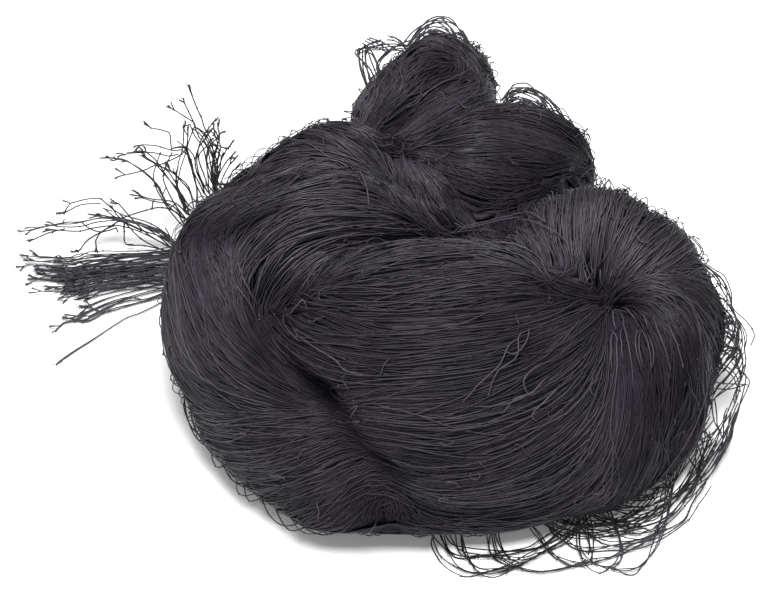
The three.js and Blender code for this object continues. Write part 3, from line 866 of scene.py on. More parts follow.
def lock_lines(places, normals, strands, sizes, rng, relief):
    """The strands of one lock: lines that turn slowly round its middle and dive under at both ends."""
    count = len(places)
    runs = unit(np.gradient(places, axis=0))
    sides = unit(np.cross(runs, normals))
    spread = np.sqrt(rng.random((strands, 1)))
    twist = rng.uniform(-1, 1) * LOCK_TWIST * sizes.turn_step * np.arange(count)
    own_way = np.array([wave(rng, count, STRAND_SPREAD) for _ in range(strands)])
    angle = rng.uniform(0, 2 * math.pi, (strands, 1)) + twist + STRAND_TURN * own_way
    width = sizes.lock_half * (1 + LOCK_SWELL * wave(rng, count, SWELL_SPREAD))
    across = spread * np.cos(angle) * width + STRAND_SWAY * np.roll(own_way, SWAY_LAG, 1)
    lift = relief * (spread * np.sin(angle) * sizes.lock_depth + rng.uniform(*LOCK_LEVELS)) - dive(count)
    return places + sides * across[..., None] + normals * lift[..., None]


def length(name, text, default, least=0.0):
    return bpy.props.FloatProperty(name=name, description=text, default=default, min=least, unit="LENGTH")


def number(name, text, default, least=0):
    return bpy.props.IntProperty(name=name, description=text, default=default, min=least)


def colour(name, text, *default):
    return bpy.props.FloatVectorProperty(name=name, description=text, subtype="COLOR", default=default)


class NetSizes(bpy.types.PropertyGroup):
    """Sizes of the twine and of the way that it lies"""

    twine_width: length("Twine width", "How thick loose twine is", 0.00075, 0.0001)
    wound_width: length("Wound width", "How thick wound twine is", 0.0006, 0.0001)
    mesh_bar: length("Mesh bar", "From one knot of the net to the next", 0.02, 0.002)
    body_grain: length("Body grain", "Size of the body's faces", 0.003, 0.001)
    body_inset: length("Body inset", "How far the body lies under its turns", 0.0028)
    turn_step: length("Turn step", "From one point of a strand to the next", 0.011, 0.001)
    lock_half: length("Lock half width", "Half the width of a lock of strands", 0.0034)
    lock_depth: length("Lock half depth", "Half the depth of a lock of strands", 0.0006)
    bands: number("Bands", "How many flat locks lie under the strands", 1000, 1)
    locks: number("Locks", "How many locks of strands lie over the body", 1050, 1)
    lock_strands: number("Strands in a lock", "How many strands lie together in a lock", 6, 1)
    strays: number("Strays", "How many single strands cross the locks", 950)
    kinks: number("Kinks", "How many short kinked ends lie on the turns", 110)
    flyaways: number("Flyaways", "How many small loops stand off the body", 900)


class NetColours(bpy.types.PropertyGroup):
    """Colours of the twine and of the stage"""

    twine_dark: colour("Dark twine", "Twine where it is darkest", 0.0125, 0.0104, 0.0150)
    # The light twine colour shows where twine is rubbed, and also where light is painted on it.
    twine_light: colour("Light twine", "Twine where it is rubbed", 0.045, 0.0372, 0.0516)
    depth_shade: colour("Depth shade", "The net under its outer turns", 0.022, 0.0192, 0.0256)
    # Painted shade: the colour that the body takes where its shade note is deep.
    parting_shade: colour("Parting shade", "The net where turns part", 0.0160, 0.0137, 0.0187)
    floor: colour("Floor", "The pale floor", 0.86, 0.86, 0.87)


# How twine is shaded.
FAINT_GLOSS = 0.08  # of the twine itself, under its sheen
SHEEN_ROUGHNESS = 0.5
PATCH_DETAIL = 4
FIBRE_DETAIL = 3
STREAK_DETAIL = 2
FIBRE_TONE = 0.25  # how much the fibres lighten a strand
FIBRE_DEPTH = 0.2 * MM
STREAK_DEPTH = 0.6 * MM
# From which range a value is taken, and to which.
RUBBED_PATCHES = (0.35, 0.75, -0.2, 0.25)
FIBRE_ROUGHNESS = (0.0, 1.0, 0.42, 0.7)
STREAK_TONES = (0.42, 0.7, -0.15, 0.6)
TONE_SHEEN = (-0.1, 0.6, 0.3, 0.8)
# Columns: a twine's two colours, the strength of its bump, the note that holds its tone, and whether it has
# streaks.
TWINES = {
    "wound_twine": ("twine_dark", "twine_light", 0.25, "tone", False),
    "banded_twine": ("twine_dark", "twine_light", 0.8, "tone", True),
    "loose_twine": ("twine_dark", "twine_light", 0.35, "tone", False),
    # The body's colour follows its shade note: painted shade turns it to the parting colour, and painted
    # light to its depth colour.
    "depth_twine": ("depth_shade", "parting_shade", 0.6, "shade", False),
}


def new_group(name, inputs, outputs):
    """An empty shading group with the given sockets, and its input and output nodes."""
    group = bpy.data.node_groups.new(name, "ShaderNodeTree")
    for label, kind, default in inputs:
        socket = group.interface.new_socket(label, in_out="INPUT", socket_type=kind)
        if default is not None:
            socket.default_value = default
    for label, kind in outputs:
        group.interface.new_socket(label, in_out="OUTPUT", socket_type=kind)
    return group, group.nodes.new("NodeGroupInput"), group.nodes.new("NodeGroupOutput")


def placed(tree, group):
    """A node that holds a shading group."""
    node = tree.nodes.new("ShaderNodeGroup")
    node.node_tree = group
    return node


def noted(tree, name, output="Fac"):
    """What a mesh notes under a name."""
    node = tree.nodes.new("ShaderNodeAttribute")
    node.attribute_name = name
    return node.outputs[output]


def speckled(tree, place, scale, detail):
    """Noise at a place. Its scale is a number or another node's output."""
    node = tree.nodes.new("ShaderNodeTexNoise")
    node.inputs["Detail"].default_value = detail
    tree.links.new(place, node.inputs["Vector"])
    feed(tree, scale, node.inputs["Scale"])
    return node.outputs["Fac"]


def feed(tree, source, socket):
    """Gives a socket a number, or links another node's output to it."""
    if isinstance(source, (int, float)):
        socket.default_value = source
    else:
        tree.links.new(source, socket)


def ranged(tree, source, ranges):
    """A value taken from one range to another."""
    node = tree.nodes.new("ShaderNodeMapRange")
    for label, value in zip(("From Min", "From Max", "To Min", "To Max"), ranges):
        node.inputs[label].default_value = value
    tree.links.new(source, node.inputs["Value"])
    return node.outputs["Result"]


def reckoned(tree, operation, *sources, clamp=False):
    """The result of a sum of numbers and other nodes' outputs."""
    node = tree.nodes.new("ShaderNodeMath")
    node.operation = operation
    node.use_clamp = clamp
    for source, socket in zip(sources, node.inputs):
        feed(tree, source, socket)
    return node.outputs["Value"]


def fibre_group():
    """Twine as a shading group: its colour, how rough it is, and the height of its fibres."""
    group = bpy.data.node_groups.get("twine_fibres")
    if group:
        return group
    group, given, made = new_group(
        "twine_fibres",
        (
            ("Dark", "NodeSocketColor", (0, 0, 0, 1)),
            ("Light", "NodeSocketColor", (1, 1, 1, 1)),
            ("Tone", "NodeSocketFloat", 0.3),
            ("Patches", "NodeSocketFloat", 40.0),
            ("Fibres", "NodeSocketFloat", 1800.0),
        ),
        (("Colour", "NodeSocketColor"), ("Roughness", "NodeSocketFloat"), ("Height", "NodeSocketFloat")),
    )
    link = group.links.new
    place = group.nodes.new("ShaderNodeTexCoord").outputs["Object"]
    patches = speckled(group, place, given.outputs["Patches"], PATCH_DETAIL)
    fibres = speckled(group, place, given.outputs["Fibres"], FIBRE_DETAIL)
    fine = reckoned(group, "MULTIPLY_ADD", fibres, FIBRE_TONE, given.outputs["Tone"])
    total = reckoned(group, "ADD", ranged(group, patches, RUBBED_PATCHES), fine, clamp=True)
    mix = group.nodes.new("ShaderNodeMix")
    mix.data_type = "RGBA"
    link(total, mix.inputs["Factor"])
    link(given.outputs["Dark"], mix.inputs["A"])
    link(given.outputs["Light"], mix.inputs["B"])
    link(mix.outputs["Result"], made.inputs["Colour"])
    link(ranged(group, fibres, FIBRE_ROUGHNESS), made.inputs["Roughness"])
    link(fibres, made.inputs["Height"])
    return group


def streak_group():
    """The strands of a flat lock as a shading group: their tone, and how high they stand."""
    group = bpy.data.node_groups.get("twine_streaks")
    if group:
        return group
    group, given, made = new_group(
        "twine_streaks",
        (("Lay", "NodeSocketVector", None), ("Strand", "NodeSocketVector", (1100, 14, 1))),
        (("Tone", "NodeSocketFloat"), ("Height", "NodeSocketFloat")),
    )
    link = group.links.new
    stretched = group.nodes.new("ShaderNodeVectorMath")
    stretched.operation = "MULTIPLY"
    link(given.outputs["Lay"], stretched.inputs[0])
    link(given.outputs["Strand"], stretched.inputs[1])
    streaks = speckled(group, stretched.outputs["Vector"], 1, STREAK_DETAIL)
    link(ranged(group, streaks, STREAK_TONES), made.inputs["Tone"])
    link(streaks, made.inputs["Height"])
    return group


def twine_material(name, colours):
    """Black twine with its fibres, shaded strand by strand."""
    material = bpy.data.materials.get(name)
    if material:
        return material
    dark, light, bump, tone_from, streaked = TWINES[name]
    material = bpy.data.materials.new(name)
    material.use_nodes = True
    tree = material.node_tree
    link = tree.links.new
    shader, height = tree.nodes["Principled BSDF"], tree.nodes.new("ShaderNodeBump")
    shader.inputs["Specular IOR Level"].default_value = FAINT_GLOSS
    shader.inputs["Coat Roughness"].default_value = SHEEN_ROUGHNESS
    height.inputs["Strength"].default_value = bump
    height.inputs["Distance"].default_value = STREAK_DEPTH if streaked else FIBRE_DEPTH
    fibres = placed(tree, fibre_group())
    fibres.inputs["Dark"].default_value = (*getattr(colours, dark), 1)
    fibres.inputs["Light"].default_value = (*getattr(colours, light), 1)
    tone, sheen = noted(tree, tone_from), noted(tree, "sheen")
    gloss = reckoned(tree, "MULTIPLY", ranged(tree, tone, TONE_SHEEN), sheen)
    relief = fibres.outputs["Height"]
    if streaked:
        streaks = placed(tree, streak_group())
        link(noted(tree, "lay", "Vector"), streaks.inputs["Lay"])
        tone = reckoned(tree, "MULTIPLY_ADD", streaks.outputs["Tone"], sheen, tone)
        relief = streaks.outputs["Height"]
    link(tone, fibres.inputs["Tone"])
    link(relief, height.inputs["Height"])
    link(fibres.outputs["Colour"], shader.inputs["Base Color"])
    link(fibres.outputs["Roughness"], shader.inputs["Roughness"])
    link(gloss, shader.inputs["Coat Weight"])
    link(height.outputs["Normal"], shader.inputs["Normal"])
    return material


def apply_modifier(piece, kind, **values):
    modifier = piece.modifiers.new(kind.lower(), kind)
    for name, value in values.items():
        setattr(modifier, name, value)
    bpy.ops.object.modifier_apply(modifier=modifier.name)


class BIRDNET_OT_wound_body(bpy.types.Operator):
    """Make the wound body under the turns, and note on it which way the net runs"""

    bl_idname = "birdnet.wound_body"
    bl_label = "Wound body"

    def execute(self, context):
        sizes, colours = context.scene.bird_net_sizes, context.scene.bird_net_colours
        body = bpy.data.objects.new(BODY_NAME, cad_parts["hank"].data.copy())
        context.scene.collection.objects.link(body)
        bpy.ops.object.select_all(action="DESELECT")
        body.select_set(True)
        context.view_layer.objects.active = body
        bpy.ops.object.mode_set(mode="EDIT")
        bpy.ops.mesh.select_all(action="SELECT")
        bpy.ops.mesh.remove_doubles(threshold=SAME_POINT)
        bpy.ops.object.mode_set(mode="OBJECT")
        apply_modifier(body, "REMESH", mode="VOXEL", voxel_size=sizes.body_grain, adaptivity=0)
        apply_modifier(body, "SMOOTH", factor=EVEN_SHARE, iterations=GRAIN_ROUNDS)
        form_body(body.data)
        apply_modifier(body, "DISPLACE", strength=-sizes.body_inset, mid_level=0, direction="NORMAL")
        note_runs(body.data)
        body.data.shade_smooth()
        body.data.materials.clear()
        body.data.materials.append(twine_material("depth_twine", colours))
        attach(body, "root")
        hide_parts("hank")
        return {"FINISHED"}


# Flat locks.
BAND_FLATNESS = 0.14  # depth of a flat lock as a share of its width
BAND_HALVES = (2.0 * MM, 3.6 * MM)  # half widths of flat locks
BAND_LEVELS = (-1.7 * MM, -0.75 * MM)
BAND_LENGTHS = (0.08, 0.2)
BAND_WANDER = 0.05  # how far it strays from the run
BAND_DIVE = 0.5  # how far its ends dive, as a share of a strand's dive
BAND_TONES = (0.12, 0.34)
BAND_SHEEN = 0.6

# Locks of single strands.
LOCK_LENGTHS = (0.10, 0.26)
LOCK_WANDER = 0.11
LOCK_SLANT = 0.03  # how far locks cross the run
LOCK_TONE = 0.2
TONE_SPREAD = 0.06  # how far the tones of strands differ, and below how far a tone differs along a lock
TONE_SWELL = 0.07
TONE_SWELL_SPREAD = 7
LIGHT_STRANDS = 0.12  # share of strands that are lighter, and below by how much
LIGHT_GAIN = (0.25, 0.6)
SHADE_TONE = 0.11  # tone that strands come to in the shade, and below how fast they come to it
SHADE_LOSS = 1.35
PAINTED_LIGHT_GAIN = 0.3  # how much lighter painted light makes a strand, and below how much more sheen it gives it
PAINTED_LIGHT_SHEEN = 0.5
# How far the strands of a lock differ, where that isn't 1.
SPREADS = {"far_turns": 0.5, "right_turns": 0.5, "crest_turns": 0.7, "fan_turns": 1.3}


def in_shade(tones, shades):
    """Tones and sheens of strands: painted shade evens them out and darkens them, and painted light makes
    them lighter and glossier where the shade is below zero.
    """
    loss, painted_light = np.clip(SHADE_LOSS * shades, 0, 1), np.maximum(-shades, 0)
    return tones * (1 - loss) + SHADE_TONE * loss + PAINTED_LIGHT_GAIN * painted_light, 1 - loss + PAINTED_LIGHT_SHEEN * painted_light + 0 * tones


# Locks drawn where strands come out of the pinch behind the front and bend over the far folds.
# Columns: how much lighter they are, which is painted light, and the drawn line.
DRAWN_LOCKS = (
    (0.2, ((400, 157), (405, 182), (412, 206), (422, 230))),
    (0.2, ((402, 156), (412, 180), (426, 204), (438, 222))),
    (0.2, ((402, 156), (412, 178), (430, 200), (444, 214))),
    (0.2, ((404, 156), (420, 174), (438, 194), (452, 210))),
    (0.2, ((404, 156), (424, 170), (446, 188), (462, 202))),
    (0.45, ((356, 124), (364, 104), (376, 86))),
    (0.45, ((362, 124), (370, 102), (382, 84))),
    (0.0, ((404, 84), (424, 68), (448, 62), (466, 72))),
    (0.0, ((408, 92), (430, 76), (454, 71), (472, 82))),
    (0.0, ((412, 100), (436, 84), (458, 79), (476, 88))),
    (0.05, ((200, 232), (206, 262), (216, 295), (230, 328))),
    (0.05, ((208, 232), (214, 262), (224, 295), (238, 325))),
    (0.05, ((216, 232), (222, 262), (231, 290), (244, 318))),
    (0.05, ((204, 232), (210, 262), (220, 296), (234, 330))),
    (0.05, ((222, 236), (228, 264), (238, 294), (250, 320))),
    (0.0, ((394, 76), (410, 57), (430, 47), (452, 53))),
    (0.0, ((398, 80), (416, 61), (434, 53), (456, 61))),
    (0.0, ((402, 84), (420, 66), (440, 58), (460, 68))),
    (0.0, ((520, 176), (545, 172), (568, 164), (582, 150))),
    (0.0, ((530, 183), (552, 178), (572, 169), (584, 158))),
    (0.0, ((468, 214), (500, 207), (530, 198), (558, 186))),
    (0.0, ((478, 206), (508, 199), (538, 190), (564, 180))),
    (0.0, ((484, 216), (512, 211), (536, 202), (556, 192))),
    (0.0, ((380, 480), (368, 496), (354, 518))),
    (0.0, ((383, 482), (374, 500), (364, 520))),
    (0.0, ((385, 482), (380, 502), (375, 521))),
    (0.0, ((387, 482), (388, 503), (387, 522))),
    (0.0, ((389, 484), (396, 504), (399, 522))),
    (0.0, ((392, 484), (404, 502), (412, 521))),
    (0.0, ((381, 474), (366, 494), (348, 518))),
    (0.0, ((382, 474), (370, 496), (358, 521))),
    (0.0, ((384, 474), (376, 498), (369, 523))),
    (0.0, ((386, 474), (384, 500), (381, 524))),
    (0.0, ((387, 474), (390, 500), (393, 524))),
    (0.0, ((389, 476), (398, 500), (406, 523))),
    (0.0, ((392, 478), (408, 500), (420, 522))),
)


class BIRDNET_OT_turns(bpy.types.Operator):
    """Lay flat locks, and locks of single strands over them, along the run of the net"""

    bl_idname = "birdnet.turns"
    bl_label = "Turns"

    def execute(self, context):
        sizes, colours = context.scene.bird_net_sizes, context.scene.bird_net_colours
        rng = np.random.default_rng(11)
        body = Body()
        names = [*BUNDLES, "fan"]
        turns = {name: Twine() for name in TURN_PIECES}
        home = {bundle: piece for piece, bundles in TURN_PIECES.items() for bundle in bundles}
        bands = Twine()
        for face in body.starts(rng, sizes.bands):
            self.band(bands, body, face, sizes, rng)
        for face in body.starts(rng, sizes.locks):
            slant = rng.normal(0, LOCK_SLANT)
            found = body.strand(rng, face, LOCK_LENGTHS, sizes.turn_step, LOCK_WANDER, slant)
            if found:
                piece = home[names[body.bundles[face]]]
                self.lock(turns[piece], *found, sizes, rng, spread=SPREADS.get(piece, 1.0))
        for painted_lightness, way in DRAWN_LOCKS:
            found = body.drawn_strand(way)
            if found:
                self.lock(turns["right_turns"], *found, sizes, rng, painted_lightness)
        bands.piece("band_turns", twine_material("banded_twine", colours), "net_twine", "hank")
        for name, twine in turns.items():
            twine.piece(name, twine_material("wound_twine", colours), "net_twine", "hank")
        return {"FINISHED"}

    @staticmethod
    def lock(twine, places, normals, shades, sizes, rng, painted_lightness=0.0, spread=1.0):
        """A lock of single strands, a few of them lighter than the rest. spread is how far they differ."""
        strands = sizes.lock_strands
        lines = lock_lines(places + normals * sizes.body_inset, normals, strands, sizes, rng, spread)
        tones = rng.normal(0, TONE_SPREAD, (strands, 1))
        tones = tones + TONE_SWELL * wave(rng, len(places), TONE_SWELL_SPREAD)
        tones = tones + rng.uniform(*LIGHT_GAIN, (strands, 1)) * (rng.random((strands, 1)) < LIGHT_STRANDS)
        # Drawn locks are lifted by painted light, and the shade note paints shade and light on the strands.
        looks = in_shade(LOCK_TONE + painted_lightness + spread * tones, shades)
        twine.strands(lines, sizes.wound_width / 2, normals, *looks)

    @staticmethod
    def band(twine, body, face, sizes, rng):
        """A flat lock, narrow at both ends."""
        found = body.strand(rng, face, BAND_LENGTHS, sizes.turn_step, BAND_WANDER)
        if not found:
            return
        places, normals, shades = found
        share = np.linspace(-1, 1, len(places))
        half = rng.uniform(*BAND_HALVES) * np.sqrt(1.02 - share**4)
        lift = sizes.body_inset + rng.uniform(*BAND_LEVELS) - BAND_DIVE * dive(len(places))
        line = places + normals * lift[:, None]
        # Bands take painted shade from the shade note, but no painted light.
        tones, sheens = in_shade(rng.uniform(*BAND_TONES), np.maximum(shades, 0))
        twine.strands(line[None], half, normals, tones[None], BAND_SHEEN * sheens[None], 4, BAND_FLATNESS)


# Single strands drawn over the turns: how high they lie in millimetres, and the drawn line.
DRAWN_STRAYS = (
    (2.0, ((605, 300), (606, 316), (609, 329), (613, 335))),
    (2.5, ((609, 334), (605, 346), (605, 358), (608, 372))),
    (2.5, ((608, 334), (612, 343), (612, 358), (611, 380), (608, 410), (607, 440))),
    (2.5, ((621, 318), (621, 333), (626, 350), (629, 368), (631, 386))),
    (2.5, ((621, 333), (616, 341), (618, 352), (621, 364))),
    (2.0, ((624, 312), (630, 320), (637, 326))),
    (2.5, ((641, 334), (635, 340), (634, 353), (639, 369))),
    (2.5, ((641, 334), (638, 345), (638, 357), (641, 368))),
    (2.5, ((641, 334), (646, 346), (648, 358), (648, 372))),
    (2.5, ((648, 339), (651, 355), (649, 368))),
    (2.5, ((642, 318), (645, 326), (648, 334))),
    (2.5, ((653, 320), (656, 334), (662, 352), (667, 369))),
    (2.5, ((665, 328), (672, 346), (679, 366))),
    (2.5, ((578, 266), (578, 278), (583, 287))),
    (2.5, ((588, 266), (586, 277), (582, 287))),
    (2.5, ((598, 268), (600, 280), (606, 287))),
    (2.5, ((612, 268), (609, 280), (614, 288))),
    (3.0, ((528, 332), (516, 340), (514, 360), (496, 372), (486, 396))),
    (3.0, ((527, 331), (523, 346), (512, 358), (500, 352))),
    (2.5, ((524, 336), (508, 348), (498, 366), (478, 384), (462, 400))),
    (2.5, ((548, 362), (532, 368), (520, 380), (526, 392), (540, 388))),
    (2.5, ((545, 376), (528, 390), (512, 396), (500, 412))),
    (2.5, ((556, 384), (540, 398), (528, 412), (534, 420))),
    (2.0, ((330, 160), (350, 170), (362, 188), (366, 210))),
    (2.5, ((236, 262), (243, 292), (252, 322), (257, 342))),
    (2.5, ((232, 284), (240, 300), (247, 322), (252, 336))),
    (2.5, ((284, 310), (294, 325), (304, 342))),
    (2.5, ((299, 327), (305, 338), (322, 352), (340, 361), (350, 370), (372, 376))),
    (2.5, ((290, 312), (296, 318), (304, 308), (309, 302), (312, 312))),
    (2.5, ((400, 241), (464, 236), (520, 226), (556, 238), (572, 260))),
    (2.5, ((430, 238), (480, 231), (528, 219), (548, 226))),
    (1.5, ((405, 108), (432, 94), (458, 82), (474, 72))),
    (2.0, ((352, 408), (362, 402), (358, 414), (366, 418), (356, 422))),
)

# Strands that hang off the body's lower edge: their height in millimetres, and the drawn line.
HANGING_STRAYS = (
    (34, ((184, 396), (188, 420), (198, 440), (214, 450))),
    (32, ((190, 402), (194, 426), (212, 454), (234, 472))),
    (30, ((212, 446), (212, 458), (217, 468), (226, 464))),
    (26, ((244, 484), (246, 496), (251, 502), (264, 496))),
    (22, ((262, 500), (270, 516), (284, 526), (304, 522))),
    (20, ((276, 510), (284, 525), (294, 531), (316, 522))),
    (14, ((290, 516), (308, 530), (326, 535), (342, 527))),
    (10, ((358, 528), (364, 534), (372, 536), (382, 528))),
    (8, ((408, 530), (414, 536), (422, 537), (432, 528))),
    (40, ((166, 306), (160, 316), (160, 326), (166, 336))),
    (36, ((186, 392), (184, 408), (192, 428), (206, 440))),
    (30, ((222, 462), (230, 478), (244, 487), (258, 486))),
)

# Single strands laid over the turns.
STRAY_LENGTHS = (0.06, 0.2)
STRAY_WANDER = 0.17
STRAY_SLANT = 0.15
STRAY_LEVELS = (0.4, 1.6)  # in millimetres
STRAY_SWAY = 0.3 * MM
STRAY_TONES = (0.3, 1.0)
STRAY_KNOTS = 0.5  # share of strays with a knot, and below its size as a share of the strand's
STRAY_KNOT = 1.7
DRAWN_WIDTH = 1.25  # how thick drawn strays are as a share of the others
DRAWN_SPACING = 5  # picture points between the places of a drawn strand
SKEW = np.array((0.3, 0.2, 1.0))  # a direction that loose strands don't run along
HANGING_TONE = 0.2

# Short kinked ends.
KINK_PLACES = 7
KINK_TURN = 0.6  # how far a kinked end starts off the run, and below how far it turns at each place
KINK_BEND = 0.54
KINK_RISE = 0.3
KINK_LEVEL = 4.0 * MM
KINK_STEP = 1.5 * MM
KINK_TONES = (0.2, 0.8)
KINK_KNOT = 1.8

# Small loops at the outline. Their lengths and heights are in millimetres.
LOOP_EDGE = 0.35  # cosine to the viewer below which a face is at the outline
LOOP_PLACES = 9
LOOP_TURN = 0.7
LOOP_LENGTHS = (6, 14)
LOOP_HEIGHTS = (2, 6)
LOOP_LEAN = 0.5
LOOP_ROOT = 2 * MM  # how deep the ends of a loop lie, and below how much its middle rises to make up for it
LOOP_RISE = 3 * MM
LOOP_TONES = (0.1, 0.6)
LOOP_KNOTS = 0.4


class BIRDNET_OT_strays(bpy.types.Operator):
    """Lay single strands and small loops with knots over the turns"""

    bl_idname = "birdnet.strays"
    bl_label = "Strays"

    def execute(self, context):
        sizes, colours = context.scene.bird_net_sizes, context.scene.bird_net_colours
        rng = np.random.default_rng(23)
        body, twine = Body(), Twine()
        half = sizes.wound_width / 2
        for face in body.starts(rng, sizes.strays):
            slant = rng.normal(0, STRAY_SLANT)
            found = body.strand(rng, face, STRAY_LENGTHS, sizes.turn_step, STRAY_WANDER, slant)
            if found:
                self.stray(twine, *found, sizes.body_inset, half, rng)
        for height, way in DRAWN_STRAYS:
            found = body.drawn_strand(way)
            if not found:
                continue
            places, normals, _ = found
            arch = np.sin(np.linspace(0.2, math.pi - 0.2, len(places)))
            lift = sizes.body_inset + height * MM * arch
            # Drawn strays take the lightest tone, painted light that makes them stand out.
            twine.strand(places + normals * lift[:, None], DRAWN_WIDTH * half, normals, 1.0)
        for height, way in HANGING_STRAYS:
            line = at_level(drawn(way, DRAWN_SPACING), 2, height * MM)
            twine.strand(line, sizes.twine_width / 2, SKEW, HANGING_TONE)
        for face in body.starts(rng, sizes.kinks):
            self.kink(body, face, twine, half, rng)
        for face in body.starts(rng, sizes.flyaways, LOOP_EDGE):
            self.flyaway(body, face, twine, half, rng)
        twine.piece("stray_strands", twine_material("wound_twine", colours), "net_twine", "hank")
        return {"FINISHED"}

    @staticmethod
    def stray(twine, places, normals, shades, inset, half, rng):
        """A single strand over the turns, and often a knot on it."""
        lift = inset + rng.uniform(*STRAY_LEVELS) * MM - dive(len(places))
        lift = lift + STRAY_SWAY * wave(rng, len(places), WANDER_SPREAD)
        line = places + normals * lift[:, None]
        # The shade note paints shade and light on strays.
        tones, sheens = in_shade(rng.uniform(*STRAY_TONES), shades)
        twine.strands(line[None], half, normals, tones[None], sheens[None])
        if rng.random() < STRAY_KNOTS:
            twine.knots(line[rng.integers(2, len(places) - 1)], STRAY_KNOT * half, rng)

    @staticmethod
    def kink(body, face, twine, half, rng):
        """A short kinked end with a knot, lying on the turns."""
        normal, run = body.normals[face], np.array(body.runs[face])
        side = np.cross(normal, run)
        start = rng.uniform(-KINK_TURN, KINK_TURN)
        turns = start + rng.normal(0, KINK_BEND, KINK_PLACES).cumsum()
        rises = rng.normal(0, KINK_RISE, KINK_PLACES)
        steps = np.outer(np.cos(turns), run) + np.outer(np.sin(turns), side) + np.outer(rises, normal)
        line = body.middles[face] + normal * KINK_LEVEL + KINK_STEP * steps.cumsum(0)
        twine.strand(line, half, normal + 0.1 * side, rng.uniform(*KINK_TONES))
        twine.knots(line[rng.integers(0, KINK_PLACES)], KINK_KNOT * half, rng)

    @staticmethod
    def flyaway(body, face, twine, half, rng):
        """A small loop at the outline that leaves the body and comes back to it a little further on."""
        normal, run = body.normals[face], np.array(body.runs[face])
        side = np.cross(normal, run)
        turn = rng.uniform(-LOOP_TURN, LOOP_TURN)
        way = run * math.cos(turn) + side * math.sin(turn)
        share = np.linspace(-1, 1, LOOP_PLACES)
        length, height = rng.uniform(*LOOP_LENGTHS) * MM, rng.uniform(*LOOP_HEIGHTS) * MM
        lean = rng.uniform(-LOOP_LEAN, LOOP_LEAN) * height
        arch = 1 - share**2
        line = body.middles[face] + np.outer(share * length, way)
        line = line + np.outer(arch * (height + LOOP_RISE) - LOOP_ROOT, normal) + np.outer(arch * lean, side)
        top = line[LOOP_PLACES // 2]
        sight = Vector(top - EYE).normalized()
        if normal @ VIEW_BACK > FACING_AWAY and body.tree.ray_cast(Vector(EYE), sight)[0]:
            return
        twine.strand(line, half, side + 0.3 * way, rng.uniform(*LOOP_TONES))
        if rng.random() < LOOP_KNOTS:
            twine.knots(top, STRAY_KNOT * half, rng)


# The cut end. Its brush lies on the table behind the left side.
# Columns of a section, in millimetres: x, y, z of its middle, half its width and half its depth.
BRUSH = {
    "facing": (0, 0, 1),
    "rows": (
        (-98, 58, 20, 13, 14),
        (-130, 64, 12, 13, 11),
        (-152, 67, 7, 13, 7),
        (-179, 65, 5, 16, 5),
        (-196, 63, 3, 18, 3),
        (-226, 67, 2, 15, 2),
    ),
}
BRUSH_STRANDS = 64
BRUSH_PLACES = 16
BRUSH_END = 0.76  # share of the brush's length at which its strands end; below how far their ends differ
BRUSH_SLANT = 0.1
BRUSH_UNEVEN = 0.05
BRUSH_LONGEST = 0.14
BRUSH_SWAYS = (0.10, 0.12)  # how far a strand leaves its place across and up, as shares of the brush's size
BRUSH_SPREAD = 8
BRUSH_TONES = (0.1, 0.6)
BRUSH_FIRST = (0.2, 1.0)  # where the first knot is, in mesh bars
BRUSH_KNOTS = 6
BRUSH_KNOT = 1.5

# Strands beside the brush, as drawn lines that end in a tip. They lie just above the table.
LONE_TAILS = (
    ((170, 298), (142, 312), (128, 317), (116, 324), (95, 338), (79, 348), (64, 358)),
    ((170, 286), (135, 295), (116, 302), (91, 310), (77, 316)),
    ((170, 288), (124, 300), (99, 314), (83, 320), (66, 322), (60, 326)),
    ((170, 290), (145, 299), (128, 297), (105, 304), (84, 314)),
    ((172, 291), (150, 298), (118, 303), (90, 316)),
    ((168, 293), (140, 302), (112, 309), (88, 321), (72, 319)),
    ((166, 283), (138, 290), (108, 298), (88, 306)),
    ((162, 297), (134, 304), (106, 312), (92, 308)),
)
TAIL_HEIGHT = 2 * MM
TAIL_SPACING = 6
TAIL_WIDTHS = ((0, 0.6, 0.75, 1), (0.9, 0.9, 1.3, 1.5))  # shares of the way, and of the twine's width there
TAIL_TONE = 0.2

